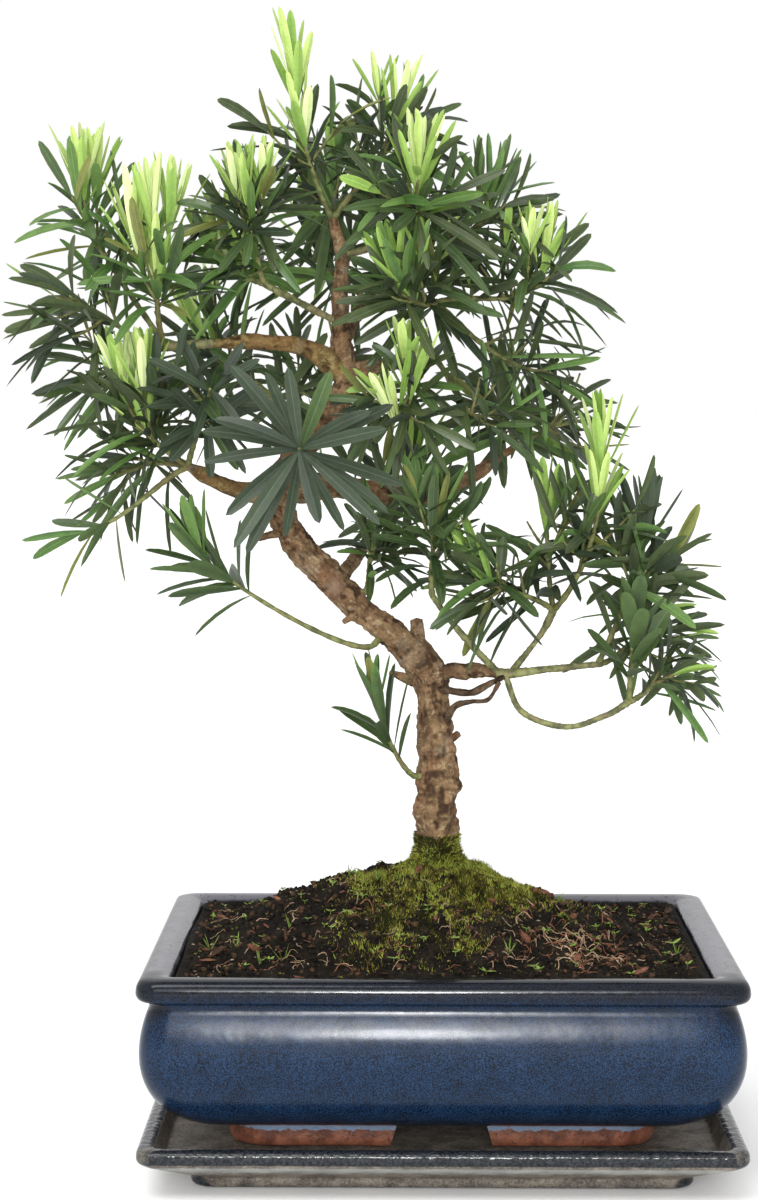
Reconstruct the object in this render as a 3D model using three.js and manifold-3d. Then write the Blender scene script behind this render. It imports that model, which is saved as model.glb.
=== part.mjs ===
// A small-leaved buddhist pine grown as a bonsai, in a glazed rectangular pot on a matching tray.
// Millimetres, +Z up, origin at the centre of the tray's flat underside, the tree's face towards -Y.
import * as THREE from "three";
import { mergeVertices } from "three/addons/utils/BufferGeometryUtils.js";
import Module from "manifold-3d";

const wasm = await Module();
wasm.setup();

// Driving dimensions of the pottery
const POT_LENGTH = 250;
const POT_DEPTH = 190;
const CLEARANCE = 0.3;
const TRAY_FLOOR = 13;
const TRAY_HEIGHT = 21;
const FOOT_BASE = TRAY_FLOOR + CLEARANCE;
const POT_UNDERSIDE = 23;
const POT_FLOOR = 32;
const BELLY_HEIGHT = 58;
const NECK_HEIGHT = 78;
const RIM_HEIGHT = 91;
const FOOT_RING = { length: 181, depth: 122, width: 17, corner: 14 };
const FOOT_GAP = { front: 33, side: 46, slant: 5 };

// Driving dimensions of the soil and the moss
const SOIL_EDGE = 87.5;
const SOIL_RISE = 30;
const SOIL_MIDDLE = { x: -10, y: 0, halfLength: 115, halfDepth: 85 };
const SEAT_HEIGHT = 119;
const SEAT_RADIUS = 15;
const MOSS = { x: 8, y: -3, halfLength: 33, halfDepth: 27, collar: 15 };

// Driving dimensions of the tree
const GOLDEN_TURN = THREE.MathUtils.degToRad(137.508);
const TRUNK_SIDES = 12;
const BOUGH_SIDES = 6;
const STUB_SIDES = 5;
const STEM_RADIUS = 1.35;
const STEM_STEPS = 5;
const STEM_FORK = THREE.MathUtils.degToRad(64);
const SHOOT_RADIUS = 1.25;
const SHOOT_TIP_RADIUS = 1.2;
const SHOOT_STEPS = 2;
const LEAF_THICKNESS = 1.2;
const LEAF_WIDTH = 9.5;
const ROOT_SINK = 0.6;
const SPACE_MARGIN = 0.25;
// A leaf's choices of length and turn, the share of a shoot that has leaves, the angles at which
// the lowest and the last leaf stand off it, the part of a leaf that may meet others, and the
// half width that the rest keeps free of them
const LENGTH_STEPS = [1, 0.84, 0.7, 0.56];
const TURN_STEPS = [0, 0.5, -0.5];
const LEAFY_SHARE = 0.85;
const LOWEST_PITCH = 1.25;
const LAST_PITCH = 0.35;
const ROOT_SHARE = 0.16;
const LEAF_HALF_GAP = 0.8;

// Every limb runs through its own points, each with the limb's diameter there. The first point of
// a bough lies on the middle line of the limb that carries it.
const LIMBS = [
  { name: "trunk", path: [
    [-2, 0, 119.3, 25], [-2, 0, 135, 18.5], [-2, 0, 159, 20], [-4, 0, 192, 20], [-9, 0, 210, 21],
    [-21, 0, 221.5, 18.5], [-38, 1, 236, 17], [-53, 1, 251, 16.5], [-65, 0, 266, 16],
    [-70, -1, 281, 15.5], [-65, 0, 298, 14], [-50, 2, 316, 13], [-41, 4, 333, 11.5],
    [-43, 5, 350, 10], [-44, 5, 368, 8.8], [-43, 5, 385, 7.8], [-47, 4, 402, 7]] },
  { name: "bough_right_low", from: "trunk", path: [
    [-5, 0, 205, 9.5], [12, -2, 207.5, 9], [27, -4, 206, 8.4], [46, -4, 208, 5], [68, -2, 210, 5.2]] },
  { name: "bough_right_low_inner", from: "bough_right_low", path: [
    [24, -4, 207, 5.4], [13, -9, 219, 5], [3, -13, 231, 4.6], [-4, -14, 241, 4.4]] },
  { name: "bough_right_low_upper", from: "bough_right_low", path: [
    [30, -3, 206, 5], [43, 2, 222, 4.6], [49, 4, 233, 5.8]] },
  { name: "bough_right_low_sagging", from: "bough_right_low", path: [
    [28, -5, 205, 4.8], [35, -9, 190, 4.4], [54, -12, 184, 4.2], [71, -12, 189, 4.4],
    [81, -12, 195, 5.2]] },
  { name: "bough_right_mid", from: "trunk", path: [
    [-68, 0, 287, 10], [-44, 15, 286, 9.5], [-18, 24, 282, 8.5], [6, 26, 286, 6.5], [32, 26, 303, 5.4]] },
  { name: "bough_left_low", from: "trunk", path: [
    [-70, -1, 284, 8], [-89, -6, 286, 7.2], [-109, -8, 296, 6.6]] },
  { name: "bough_left_mid", from: "trunk", path: [
    [-41, 4, 334, 8.5], [-57, 2, 346, 7.5], [-76, 0, 349, 6.6], [-98, -3, 348.5, 6.4],
    [-119, -5, 347, 6.8]] },
  { name: "bough_left_high", from: "trunk", path: [
    [-43, 5, 357, 5.8], [-61, 0, 366, 5.2], [-76, -4, 374, 5.2]] },
  { name: "bough_right_high", from: "trunk", path: [
    [-41, 4, 336, 6.4], [-20, 9, 340, 5.4], [-5, 11, 344, 5.2]] },
  { name: "bough_right_upper", from: "trunk", path: [
    [-44, 5, 368, 6], [-22, 4, 366, 5.4], [-2, 0, 366, 5.8]] },
  { name: "bough_top_right", from: "trunk", path: [
    [-43, 5, 386, 5.2], [-28, 1, 390, 5], [-13, -2, 392, 5.2]] },
  { name: "bough_front", from: "trunk", path: [
    [-68, 0, 290, 6], [-66, -24, 296, 5], [-60, -48, 302, 4.4]] },
  { name: "bough_back_low", from: "trunk", path: [
    [-46, 1, 244, 7], [-38, 24, 254, 5.8], [-30, 44, 264, 4.8]] },
  { name: "bough_back_mid", from: "trunk", path: [
    [-60, 0, 305, 7], [-68, 26, 314, 5.6], [-74, 48, 324, 5.4]] },
  { name: "bough_back_high", from: "trunk", path: [
    [-43, 5, 350, 6], [-38, 26, 360, 5.2], [-33, 44, 368, 5.4]] },
];

// Short cut stubs and one dead twig stand on the trunk and are part of it.
const STUBS = [
  [[-9, 0, 212, 7], [-10.5, 1, 229, 5.6]],
  [[-66, -2, 268, 5], [-79, -4, 265, 2.6]],
  [[-12, -4, 203, 5], [-22, -9, 207, 2.4]],
  [[-1, -2, 190, 4.4], [10, -8, 196, 3], [23, -11.5, 198.5, 2.2]],
];

// Each mass of foliage: the limb that carries it, where that is the trunk the height at which its
// stem leaves, the middle of its space, the way its main shoot points, how far its leaves reach
// from that middle, the length of a leaf, and the number of side shoots and leaves. A rosette is
// open: its last leaves still stand off the shoot at that angle, in radians.
const MASSES = [
  { name: "foliage_top", on: "trunk", centre: [-62, 0, 449], aim: [-0.15, 0, 1],
    reach: 46, leaf: 38, shoots: 2, leaves: 15 },
  { name: "foliage_top_right", on: "trunk", centre: [-22, 12, 436], aim: [0.4, 0.1, 1],
    reach: 40, leaf: 36, shoots: 2, leaves: 13 },
  { name: "foliage_top_back", on: "trunk", centre: [-48, 40, 412], aim: [0, 0.5, 1],
    reach: 40, leaf: 40, shoots: 2, leaves: 12 },
  { name: "foliage_upper_left", on: "bough_left_high", centre: [-80, -14, 400], aim: [-0.25, -0.1, 1],
    reach: 37, leaf: 38, shoots: 2, leaves: 13 },
  { name: "foliage_upper_front", on: "bough_top_right", centre: [-12, -24, 408], aim: [0.12, -0.2, 1],
    reach: 42, leaf: 40, shoots: 2, leaves: 14 },
  { name: "foliage_upper_right", on: "bough_top_right", centre: [19, 12, 400], aim: [0.4, 0.1, 1],
    reach: 42, leaf: 42, shoots: 2, leaves: 13 },
  { name: "foliage_right_tip", on: "bough_right_upper", centre: [42, 0, 370], aim: [0.35, -0.05, 1],
    reach: 42, leaf: 40, shoots: 2, leaves: 14 },
  { name: "foliage_right_middle", on: "bough_right_upper", centre: [36, 12, 337], aim: [1, 0.1, -0.1],
    reach: 42, leaf: 42, shoots: 2, leaves: 13 },
  { name: "foliage_heart", on: "bough_right_upper", centre: [-10, -28, 364], aim: [-0.3, -0.5, 0.7],
    reach: 40, leaf: 40, shoots: 2, leaves: 14 },
  { name: "foliage_heart_low", on: "bough_right_high", centre: [-17, -36, 322], aim: [0.1, -0.6, 0.6],
    reach: 38, leaf: 38, shoots: 2, leaves: 12 },
  { name: "foliage_right_hang", on: "bough_right_high", centre: [15, -8, 314], aim: [0.5, -0.3, -0.4],
    reach: 38, leaf: 38, shoots: 2, leaves: 12 },
  { name: "foliage_right_droop", on: "bough_right_mid", centre: [50, 20, 313], aim: [0.9, 0, -0.15],
    reach: 40, leaf: 42, shoots: 2, leaves: 13 },
  { name: "foliage_left_spire", on: "bough_left_mid", centre: [-155, 4, 404], aim: [0.05, 0, 1],
    reach: 42, leaf: 36, shoots: 2, leaves: 12 },
  { name: "foliage_left_tip", on: "bough_left_mid", centre: [-152, -10, 366], aim: [-1, -0.1, 0.1],
    reach: 42, leaf: 46, shoots: 2, leaves: 13 },
  { name: "foliage_left_crown", on: "bough_left_mid", centre: [-121, -20, 388], aim: [-0.1, -0.1, 1],
    reach: 42, leaf: 40, shoots: 2, leaves: 14 },
  { name: "foliage_left_inner", on: "bough_left_high", centre: [-98, 10, 380], aim: [-0.2, 0.1, 1],
    reach: 38, leaf: 38, shoots: 2, leaves: 12 },
  { name: "foliage_left_droop", on: "bough_left_mid", centre: [-144, 18, 336], aim: [-0.9, 0.2, -0.5],
    reach: 40, leaf: 42, shoots: 2, leaves: 12 },
  { name: "foliage_left_lower", on: "bough_left_low", centre: [-133, -22, 320], aim: [-0.3, -0.3, 1],
    reach: 38, leaf: 38, shoots: 2, leaves: 13 },
  { name: "foliage_left_rosette", on: "bough_left_low", centre: [-97, -40, 326], aim: [0.1, -1, 0.3],
    reach: 36, leaf: 30, shoots: 1, leaves: 12, open: 0.9 },
  { name: "foliage_left_under", on: "bough_left_low", centre: [-132, 8, 296], aim: [-0.8, 0.3, -0.3],
    reach: 38, leaf: 40, shoots: 2, leaves: 12 },
  { name: "foliage_left_twig", on: "bough_left_low", centre: [-144, -14, 270], aim: [-1, 0, -0.25],
    reach: 37, leaf: 38, shoots: 0, leaves: 6 },
  { name: "foliage_front_rosette", on: "bough_front", centre: [-58, -66, 304], aim: [0, -1, 0.08],
    reach: 51, leaf: 49, shoots: 0, leaves: 16, open: 1.15 },
  { name: "foliage_behind_trunk", on: "trunk", height: 236, centre: [-30, 8, 265], aim: [0.5, 0.1, 0.6],
    reach: 31, leaf: 32, shoots: 2, leaves: 11 },
  { name: "foliage_inner_low", on: "bough_right_low_inner", centre: [-3, -18, 266], aim: [0, -0.1, 1],
    reach: 38, leaf: 36, shoots: 2, leaves: 14 },
  { name: "foliage_low_spire", on: "bough_right_low_upper", centre: [69, -16, 290], aim: [0, -0.1, 1],
    reach: 42, leaf: 34, shoots: 1, leaves: 13 },
  { name: "foliage_low_middle", on: "bough_right_low_upper", centre: [46, 4, 264], aim: [-0.1, 0.1, 1],
    reach: 38, leaf: 38, shoots: 2, leaves: 13 },
  { name: "foliage_low_inner", on: "bough_right_low_upper", centre: [24, -10, 244], aim: [-0.7, -0.3, 0.3],
    reach: 38, leaf: 36, shoots: 2, leaves: 12 },
  { name: "foliage_low_upper", on: "bough_right_low", centre: [88, 8, 256], aim: [0.2, 0.1, 1],
    reach: 41, leaf: 40, shoots: 2, leaves: 13 },
  { name: "foliage_low_tip", on: "bough_right_low", centre: [88, 16, 222], aim: [1, 0.2, 0.1],
    reach: 38, leaf: 40, shoots: 2, leaves: 12 },
  { name: "foliage_sagging_spire", on: "bough_right_low_sagging", centre: [81, -25, 222],
    aim: [-0.1, -0.4, 1], reach: 33, leaf: 30, shoots: 1, leaves: 10 },
  { name: "foliage_sagging_tip", on: "bough_right_low_sagging", centre: [92, -17, 205], aim: [1, -0.1, 0.3],
    reach: 32, leaf: 34, shoots: 1, leaves: 11 },
  { name: "foliage_twig_left", on: "trunk", height: 224, centre: [-99, -12, 252], aim: [-0.7, 0, 0.9],
    reach: 36, leaf: 32, shoots: 1, leaves: 11 },
  { name: "foliage_twig_low", on: "trunk", height: 162, centre: [-27, -12, 189], aim: [-0.2, -0.1, 1],
    reach: 31, leaf: 30, shoots: 1, leaves: 9 },
  { name: "foliage_back_top", on: "bough_back_high", centre: [-54, 70, 386], aim: [-0.3, 0.7, 0.7],
    reach: 42, leaf: 42, shoots: 2, leaves: 14 },
  { name: "foliage_back_right", on: "bough_back_high", centre: [-4, 60, 380], aim: [0.6, 0.4, 0.7],
    reach: 42, leaf: 42, shoots: 2, leaves: 14 },
  { name: "foliage_back_side", on: "bough_right_mid", centre: [28, 56, 318], aim: [0.3, 1, 0.3],
    reach: 42, leaf: 42, shoots: 2, leaves: 13 },
  { name: "foliage_back_left", on: "bough_back_mid", centre: [-102, 56, 346], aim: [-0.8, 0.4, 0.6],
    reach: 42, leaf: 42, shoots: 2, leaves: 14 },
  { name: "foliage_back_middle", on: "bough_back_mid", centre: [-60, 76, 330], aim: [0.2, 1, 0.2],
    reach: 42, leaf: 42, shoots: 2, leaves: 14 },
  { name: "foliage_back_low", on: "bough_back_low", centre: [-16, 62, 286], aim: [0.4, 0.7, 0.6],
    reach: 40, leaf: 40, shoots: 2, leaves: 13 },
];

const COLOURS = {
  glaze: { color: 0x1f2f52, roughness: 0.18, metalness: 0 },
  soil: { color: 0x2b211b, roughness: 0.95, metalness: 0 },
  moss: { color: 0x55662a, roughness: 0.95, metalness: 0 },
  bark: { color: 0x7a5b41, roughness: 0.9, metalness: 0 },
  leaf: { color: 0x3c5a34, roughness: 0.5, metalness: 0 },
};

const vector = ([x, y, z]) => new THREE.Vector3(x, y, z);

// Closed bodies

/** The geometry of a closed body from its points and the corners of its triangles. */
function closedGeometry(points, index) {
  const places = points.flatMap(({ x, y, z }) => [x, y, z]);
  const geometry = new THREE.BufferGeometry();
  geometry.setAttribute("position", new THREE.Float32BufferAttribute(places, 3));
  geometry.setIndex(index);
  return geometry;
}

/** A closed body through rings of points. Each ring runs anticlockwise seen from the end that the
 *  rings run towards, and both ends are closed by a flat fan. */
function loft(rings) {
  const count = rings[0].length;
  const index = [];
  for (let ring = 0; ring < rings.length - 1; ring += 1) {
    for (let i = 0; i < count; i += 1) {
      const j = (i + 1) % count;
      const a = ring * count + i;
      const b = ring * count + j;
      index.push(a, b, b + count, a, b + count, a + count);
    }
  }
  const last = (rings.length - 1) * count;
  for (let i = 1; i < count - 1; i += 1) {
    index.push(0, i + 1, i);
    index.push(last, last + i, last + i + 1);
  }
  return closedGeometry(rings.flat(), index);
}

/** The solid of a closed geometry, for joining and cutting. */
function solidOf(geometry) {
  const merged = mergeVertices(geometry, 1e-4);
  const vertProperties = Float32Array.from(merged.attributes.position.array);
  const triVerts = Uint32Array.from(merged.index.array);
  return new wasm.Manifold(new wasm.Mesh({ numProp: 3, vertProperties, triVerts }));
}

/** The geometry of a solid's one main body: loose scraps are dropped and sealed hollows filled. */
function geometryOf(solid) {
  const bodies = solid.decompose();
  const main = bodies.reduce((best, body) => (body.volume() > best.volume() ? body : best));
  const mesh = main.getMesh();
  const geometry = new THREE.BufferGeometry();
  geometry.setAttribute("position", new THREE.Float32BufferAttribute(mesh.vertProperties, 3));
  geometry.setIndex(Array.from(mesh.triVerts));
  return geometry;
}

/** One ring of a rectangle with round corners, anticlockwise seen from above. */
function roundedRing(halfLength, halfDepth, corner, height, steps = 3) {
  const ring = [];
  const quarter = Math.PI / 2;
  [[1, 1], [-1, 1], [-1, -1], [1, -1]].forEach(([signX, signY], side) => {
    for (let step = 0; step <= steps; step += 1) {
      const angle = quarter * (side + step / steps);
      const x = signX * (halfLength - corner) + corner * Math.cos(angle);
      const y = signY * (halfDepth - corner) + corner * Math.sin(angle);
      ring.push(new THREE.Vector3(x, y, height));
    }
  });
  return ring;
}

/** Rings of the pot's rectangle from a profile of [inset from the rim's outline, height, corner]. */
const profileRings = (profile) => profile.map(([inset, height, corner]) => (
  roundedRing(POT_LENGTH / 2 - inset, POT_DEPTH / 2 - inset, corner, height)));

// Pottery

/** The shallow tray: a low plinth, a wall that slopes out to a thick lip, and a flat floor. */
function trayGeometry() {
  const wallFoot = 4.5;
  return loft(profileRings([
    [21.5, 0, 9], [20.5, 1.2, 9], [20.5, wallFoot, 9],
    [0.8, 14.8, 7], [0, 16.4, 7], [0.4, 19.8, 7], [2.2, TRAY_HEIGHT, 6],
    [5.6, TRAY_HEIGHT, 5], [7.2, 20, 5], [10, TRAY_FLOOR, 5],
  ]));
}

/** The belly's outline: a quarter ellipse from the underside out to the widest height. */
function bellyProfile() {
  const steps = 5;
  const [insetBelow, insetWide] = [30, 0.8];
  const profile = [];
  for (let step = 0; step <= steps; step += 1) {
    const angle = (Math.PI / 2) * (step / steps);
    const inset = insetBelow + (insetWide - insetBelow) * Math.sin(angle);
    const height = BELLY_HEIGHT - (BELLY_HEIGHT - POT_UNDERSIDE) * Math.cos(angle);
    profile.push([inset, height, 13]);
  }
  return profile;
}

/** The pot's wall, rim and floor in one closed body, open at the top, without its feet. */
function bowlGeometry() {
  return loft(profileRings([
    ...bellyProfile(),
    [1.9, 68, 13], [5, NECK_HEIGHT, 11], [5, 80.6, 10],
    [1.2, 81.6, 9], [0, 84, 9], [0.2, 88.4, 9], [3, RIM_HEIGHT, 8],
    [12.6, RIM_HEIGHT, 5], [15, 88.6, 5], [17.5, 60, 6], [24, 42, 8], [36, POT_FLOOR, 8],
  ]));
}

/** A bar across the foot ring, wider below than above, that cuts the gap between two feet. */
function footCutter(width, reach) {
  const ring = (grow, height) => roundedRing(width / 2 + grow, reach, 0.5, height, 1);
  return solidOf(loft([ring(FOOT_GAP.slant, FOOT_BASE - 1), ring(0, POT_UNDERSIDE + 1)]));
}

/** The four corner feet: a ring under the pot with a gap in the middle of every side. */
function feetSolid() {
  const top = POT_UNDERSIDE + 3;
  const bevel = 1.5;
  const half = [FOOT_RING.length / 2, FOOT_RING.depth / 2];
  const outer = loft([
    roundedRing(half[0] - bevel, half[1] - bevel, FOOT_RING.corner - 1, FOOT_BASE),
    roundedRing(half[0], half[1], FOOT_RING.corner, FOOT_BASE + bevel),
    roundedRing(half[0] + 1, half[1] + 1, FOOT_RING.corner, top),
  ]);
  const inner = loft([FOOT_BASE - 1, top + 1].map((height) => (
    roundedRing(half[0] - FOOT_RING.width, half[1] - FOOT_RING.width, 6, height))));
  const acrossSides = footCutter(FOOT_GAP.front, POT_DEPTH / 2);
  const acrossEnds = footCutter(FOOT_GAP.side, POT_LENGTH / 2).rotate([0, 0, 90]);
  return solidOf(outer).subtract(solidOf(inner)).subtract(acrossSides).subtract(acrossEnds);
}

const potGeometry = () => geometryOf(solidOf(bowlGeometry()).add(feetSolid()));

// Soil and moss

/** The height of the mound: a cosine swell over an ellipse, with a flat seat under the trunk. */
function soilHeight(x, y) {
  const away = Math.min(1, Math.hypot(
    (x - SOIL_MIDDLE.x) / SOIL_MIDDLE.halfLength, (y - SOIL_MIDDLE.y) / SOIL_MIDDLE.halfDepth));
  const swell = SOIL_EDGE + SOIL_RISE * (0.5 + 0.5 * Math.cos(Math.PI * away)) ** 0.8;
  const fromSeat = Math.hypot(x - LIMBS[0].path[0][0], y - LIMBS[0].path[0][1]) / SEAT_RADIUS;
  return THREE.MathUtils.lerp(SEAT_HEIGHT, swell, THREE.MathUtils.smoothstep(fromSeat, 1, 2.2));
}

/** The soil: it fills the pot up to its rim and rises to the trunk in a mound. */
function soilGeometry(lift = 0) {
  const steps = 6;
  const arcSteps = 3;
  const gap = CLEARANCE;
  const wall = [[36.6 + gap, POT_FLOOR + gap, 8], [24 + gap, 42 + gap, 8], [17.5 + gap, 60, 6]];
  const rings = wall.map(([inset, height, corner]) => (
    roundedRing(POT_LENGTH / 2 - inset, POT_DEPTH / 2 - inset, corner, height, arcSteps)));
  const edge = roundedRing(POT_LENGTH / 2 - 15.7, POT_DEPTH / 2 - 15.7, 5, SOIL_EDGE, arcSteps);
  const [seatX, seatY] = LIMBS[0].path[0];
  for (let step = 0; step <= steps; step += 1) {
    const inward = step / steps;
    rings.push(edge.map((point) => {
      const angle = Math.atan2(point.y - seatY, point.x - seatX);
      const x = THREE.MathUtils.lerp(point.x, seatX + (SEAT_RADIUS - 1) * Math.cos(angle), inward);
      const y = THREE.MathUtils.lerp(point.y, seatY + (SEAT_RADIUS - 1) * Math.sin(angle), inward);
      return new THREE.Vector3(x, y, soilHeight(x, y) + lift);
    }));
  }
  return loft(rings);
}

/** The moss: a low cushion round the trunk's foot, cut to the soil and the bark under it. */
function mossGeometry(trunkGrown) {
  const sides = 12;
  const depth = 14;
  const rings = [[1, -depth], [1, 0], [0.85, 0.5], [0.55, 0.8], [0.3, 1.1]].map(([spread, rise]) => {
    const swell = rise < 0 ? rise : 3.5 * Math.sqrt(rise) + 9 * (1 - spread) ** 2;
    const cushion = Math.min(MOSS.collar, swell);
    const ring = [];
    for (let side = 0; side < sides; side += 1) {
      const angle = (2 * Math.PI * (side + 0.4)) / sides;
      const lobe = 1 + 0.1 * Math.cos(3 * angle + 1) + 0.07 * Math.cos(5 * angle);
      const x = MOSS.x * spread + MOSS.halfLength * spread * lobe * Math.cos(angle);
      const y = MOSS.y * spread + MOSS.halfDepth * spread * lobe * Math.sin(angle);
      ring.push(new THREE.Vector3(x, y, soilHeight(x, y) + cushion));
    }
    return ring;
  });
  const soilGrown = solidOf(soilGeometry(CLEARANCE));
  return geometryOf(solidOf(loft(rings)).subtract(soilGrown).subtract(trunkGrown));
}

// Limbs

/** A limb's middle line, with its radius at any fraction of the way. */
function limbLine(path) {
  const curve = new THREE.CatmullRomCurve3(path.map(vector), false, "catmullrom", 0.5);
  const radiusAt = (fraction) => {
    const place = fraction * (path.length - 1);
    const before = Math.min(Math.floor(place), path.length - 2);
    return THREE.MathUtils.lerp(path[before][3], path[before + 1][3], place - before) / 2;
  };
  return { curve, radiusAt, steps: Math.round((path.length - 1) * 1.5) };
}

/** Rings round a curve, square to it, without twist from one ring to the next. */
function ringsAlong(curve, stations, sides, radiusAt) {
  let across = new THREE.Vector3(0, 1, 0);
  return stations.map((station) => {
    const middle = curve.getPoint(station);
    const along = curve.getTangent(station);
    if (Math.abs(across.dot(along)) > 0.95) {
      across = new THREE.Vector3(1, 0, 0);
    }
    across = across.clone().addScaledVector(along, -across.dot(along)).normalize();
    const square = along.clone().cross(across);
    const ring = [];
    for (let side = 0; side < sides; side += 1) {
      const angle = (2 * Math.PI * side) / sides;
      const radius = radiusAt(station, angle);
      ring.push(middle.clone()
        .addScaledVector(across, radius * Math.cos(angle))
        .addScaledVector(square, radius * Math.sin(angle)));
    }
    return ring;
  });
}

/** A round knob that ends a limb: rings that close over a half ball. */
function knobRings(ring, along, radius) {
  const middle = ring.reduce((sum, point) => sum.add(point), new THREE.Vector3()).divideScalar(ring.length);
  return [[0.55, 0.83], [0.9, 0.42]].map(([forward, shrink]) => ring.map((point) => (
    point.clone().sub(middle).multiplyScalar(shrink).add(middle).addScaledVector(along, forward * radius))));
}

/** A limb's solid, grown by a margin where it serves to cut another limb clear. */
function limbSolid(path, sides, margin = 0) {
  const { curve, radiusAt, steps } = limbLine(path);
  const stations = Array.from({ length: steps + 1 }, (_, step) => step / steps);
  const rings = ringsAlong(curve, stations, sides, (station) => radiusAt(station) + margin);
  rings.push(...knobRings(rings[steps], curve.getTangent(1), radiusAt(1) + margin));
  return solidOf(loft(rings));
}

/** The trunk with its stubs and its dead twig. */
function trunkSolid(margin = 0) {
  const bare = limbSolid(LIMBS[0].path, TRUNK_SIDES, margin);
  return STUBS.reduce((solid, stub) => solid.add(limbSolid(stub, STUB_SIDES, margin)), bare);
}

// The growth rule

/** A number from 0 to 1 that depends only on the seed and the index. */
function draw(seed, index) {
  let hash = Math.imul(seed ^ 0x9e3779b9, 0x85ebca6b) ^ Math.imul(index + 1, 0xc2b2ae35);
  hash = Math.imul(hash ^ (hash >>> 15), 0x2c1b3c6d);
  hash = Math.imul(hash ^ (hash >>> 12), 0x297a2d39);
  return ((hash ^ (hash >>> 15)) >>> 0) / 2 ** 32;
}

/** The direction that leaves an axis at a given pitch, turned round it by a given angle. */
function leaning(axis, turn, pitch) {
  const reference = Math.abs(axis.z) < 0.9 ? new THREE.Vector3(0, 0, 1) : new THREE.Vector3(1, 0, 0);
  const across = reference.cross(axis).normalize();
  const square = axis.clone().cross(across);
  return axis.clone().multiplyScalar(Math.cos(pitch))
    .addScaledVector(across, Math.sin(pitch) * Math.cos(turn))
    .addScaledVector(square, Math.sin(pitch) * Math.sin(turn));
}

/** The point of a curve that is nearest to a height. */
function stationAtHeight(curve, height) {
  const stations = Array.from({ length: 201 }, (_, step) => step / 200);
  const miss = (station) => Math.abs(curve.getPoint(station).z - height);
  return stations.reduce((best, station) => (miss(station) < miss(best) ? station : best));
}

/** Where a mass's stem leaves its limb: the tip, or on the trunk the point at a given height. */
function seatOf(mass) {
  const limb = limbLine(LIMBS.find(({ name }) => name === mass.on).path);
  const station = mass.height ? stationAtHeight(limb.curve, mass.height) : 1;
  const point = limb.curve.getPoint(station);
  const along = limb.curve.getTangent(station);
  const way = vector(mass.centre).sub(point).normalize();
  way.addScaledVector(along, mass.height ? -way.dot(along) : 0.3).normalize();
  return { point, along, way, radius: limb.radiusAt(station), key: mass.height ?? mass.on };
}

/** Turns two directions away from each other until they are a given angle apart. */
function partWays(first, second, angle) {
  const between = first.angleTo(second);
  if (between >= angle) {
    return;
  }
  const axis = first.clone().cross(second).normalize();
  first.applyAxisAngle(axis, (between - angle) / 2);
  second.applyAxisAngle(axis, (angle - between) / 2);
}

/** The seats of all masses, with the stems that share a tip forked well apart. */
function forkedSeats() {
  const seats = MASSES.map(seatOf);
  for (let round = 0; round < 60; round += 1) {
    seats.forEach((seat, k) => {
      seats.slice(k + 1).filter(({ key }) => key === seat.key)
        .forEach((other) => partWays(seat.way, other.way, STEM_FORK));
      if (!MASSES[k].height) {
        partWays(seat.way, seat.along.clone().negate(), STEM_FORK * 1.1);
      }
    });
  }
  return seats;
}

/** A mass's stem: from 0.3 mm off its limb, round into the way that the main shoot points. */
function stemOf(mass, seat) {
  const aim = vector(mass.aim).normalize();
  const start = seat.point.clone().addScaledVector(seat.way, seat.radius + CLEARANCE);
  const tip = vector(mass.centre).addScaledVector(aim, 0.3 * mass.reach);
  const span = start.distanceTo(tip);
  return new THREE.CubicBezierCurve3(
    start,
    start.clone().addScaledVector(seat.way, 0.3 * span),
    tip.clone().addScaledVector(aim, -Math.min(0.55 * mass.reach, 0.5 * span)),
    tip,
  );
}

/** The side shoots of a mass: they leave the stem round its main shoot and bend up. */
function shootsOf(mass, stem, seed) {
  const aim = vector(mass.aim).normalize();
  const shoots = [];
  for (let k = 0; k < mass.shoots; k += 1) {
    const root = stem.getPoint(0.55 + 0.2 * draw(seed, 10 + k));
    const turn = GOLDEN_TURN * k + 2 * Math.PI * draw(seed, 0);
    const way = leaning(aim, turn, 0.9 + 0.35 * draw(seed, 20 + k));
    const length = mass.reach * (0.45 + 0.15 * draw(seed, 30 + k));
    const bend = root.clone().addScaledVector(way, 0.5 * length);
    const tip = root.clone().addScaledVector(way, length).add(new THREE.Vector3(0, 0, 0.2 * length));
    shoots.push(new THREE.QuadraticBezierCurve3(root, bend, tip));
  }
  return shoots;
}

/** The five corners of a leaf: its root, both edges and the keel at its widest, and its tip. */
function leafCorners(root, way, flat, length) {
  const edge = way.clone().cross(flat).normalize();
  const face = edge.clone().cross(way);
  const widest = root.clone().addScaledVector(way, 0.5 * length);
  return [
    root.clone().addScaledVector(way, -ROOT_SINK),
    widest.clone().addScaledVector(edge, LEAF_WIDTH / 2),
    widest.clone().addScaledVector(face, LEAF_THICKNESS),
    widest.clone().addScaledVector(edge, -LEAF_WIDTH / 2),
    root.clone().addScaledVector(way, length),
  ];
}

/** A leaf's six faces as a closed body: flat above, keeled below. */
function leafSolid(corners) {
  const index = [];
  for (let side = 1; side <= 3; side += 1) {
    const next = (side % 3) + 1;
    index.push(0, side, next, 4, next, side);
  }
  return solidOf(closedGeometry(corners, index));
}

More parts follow.
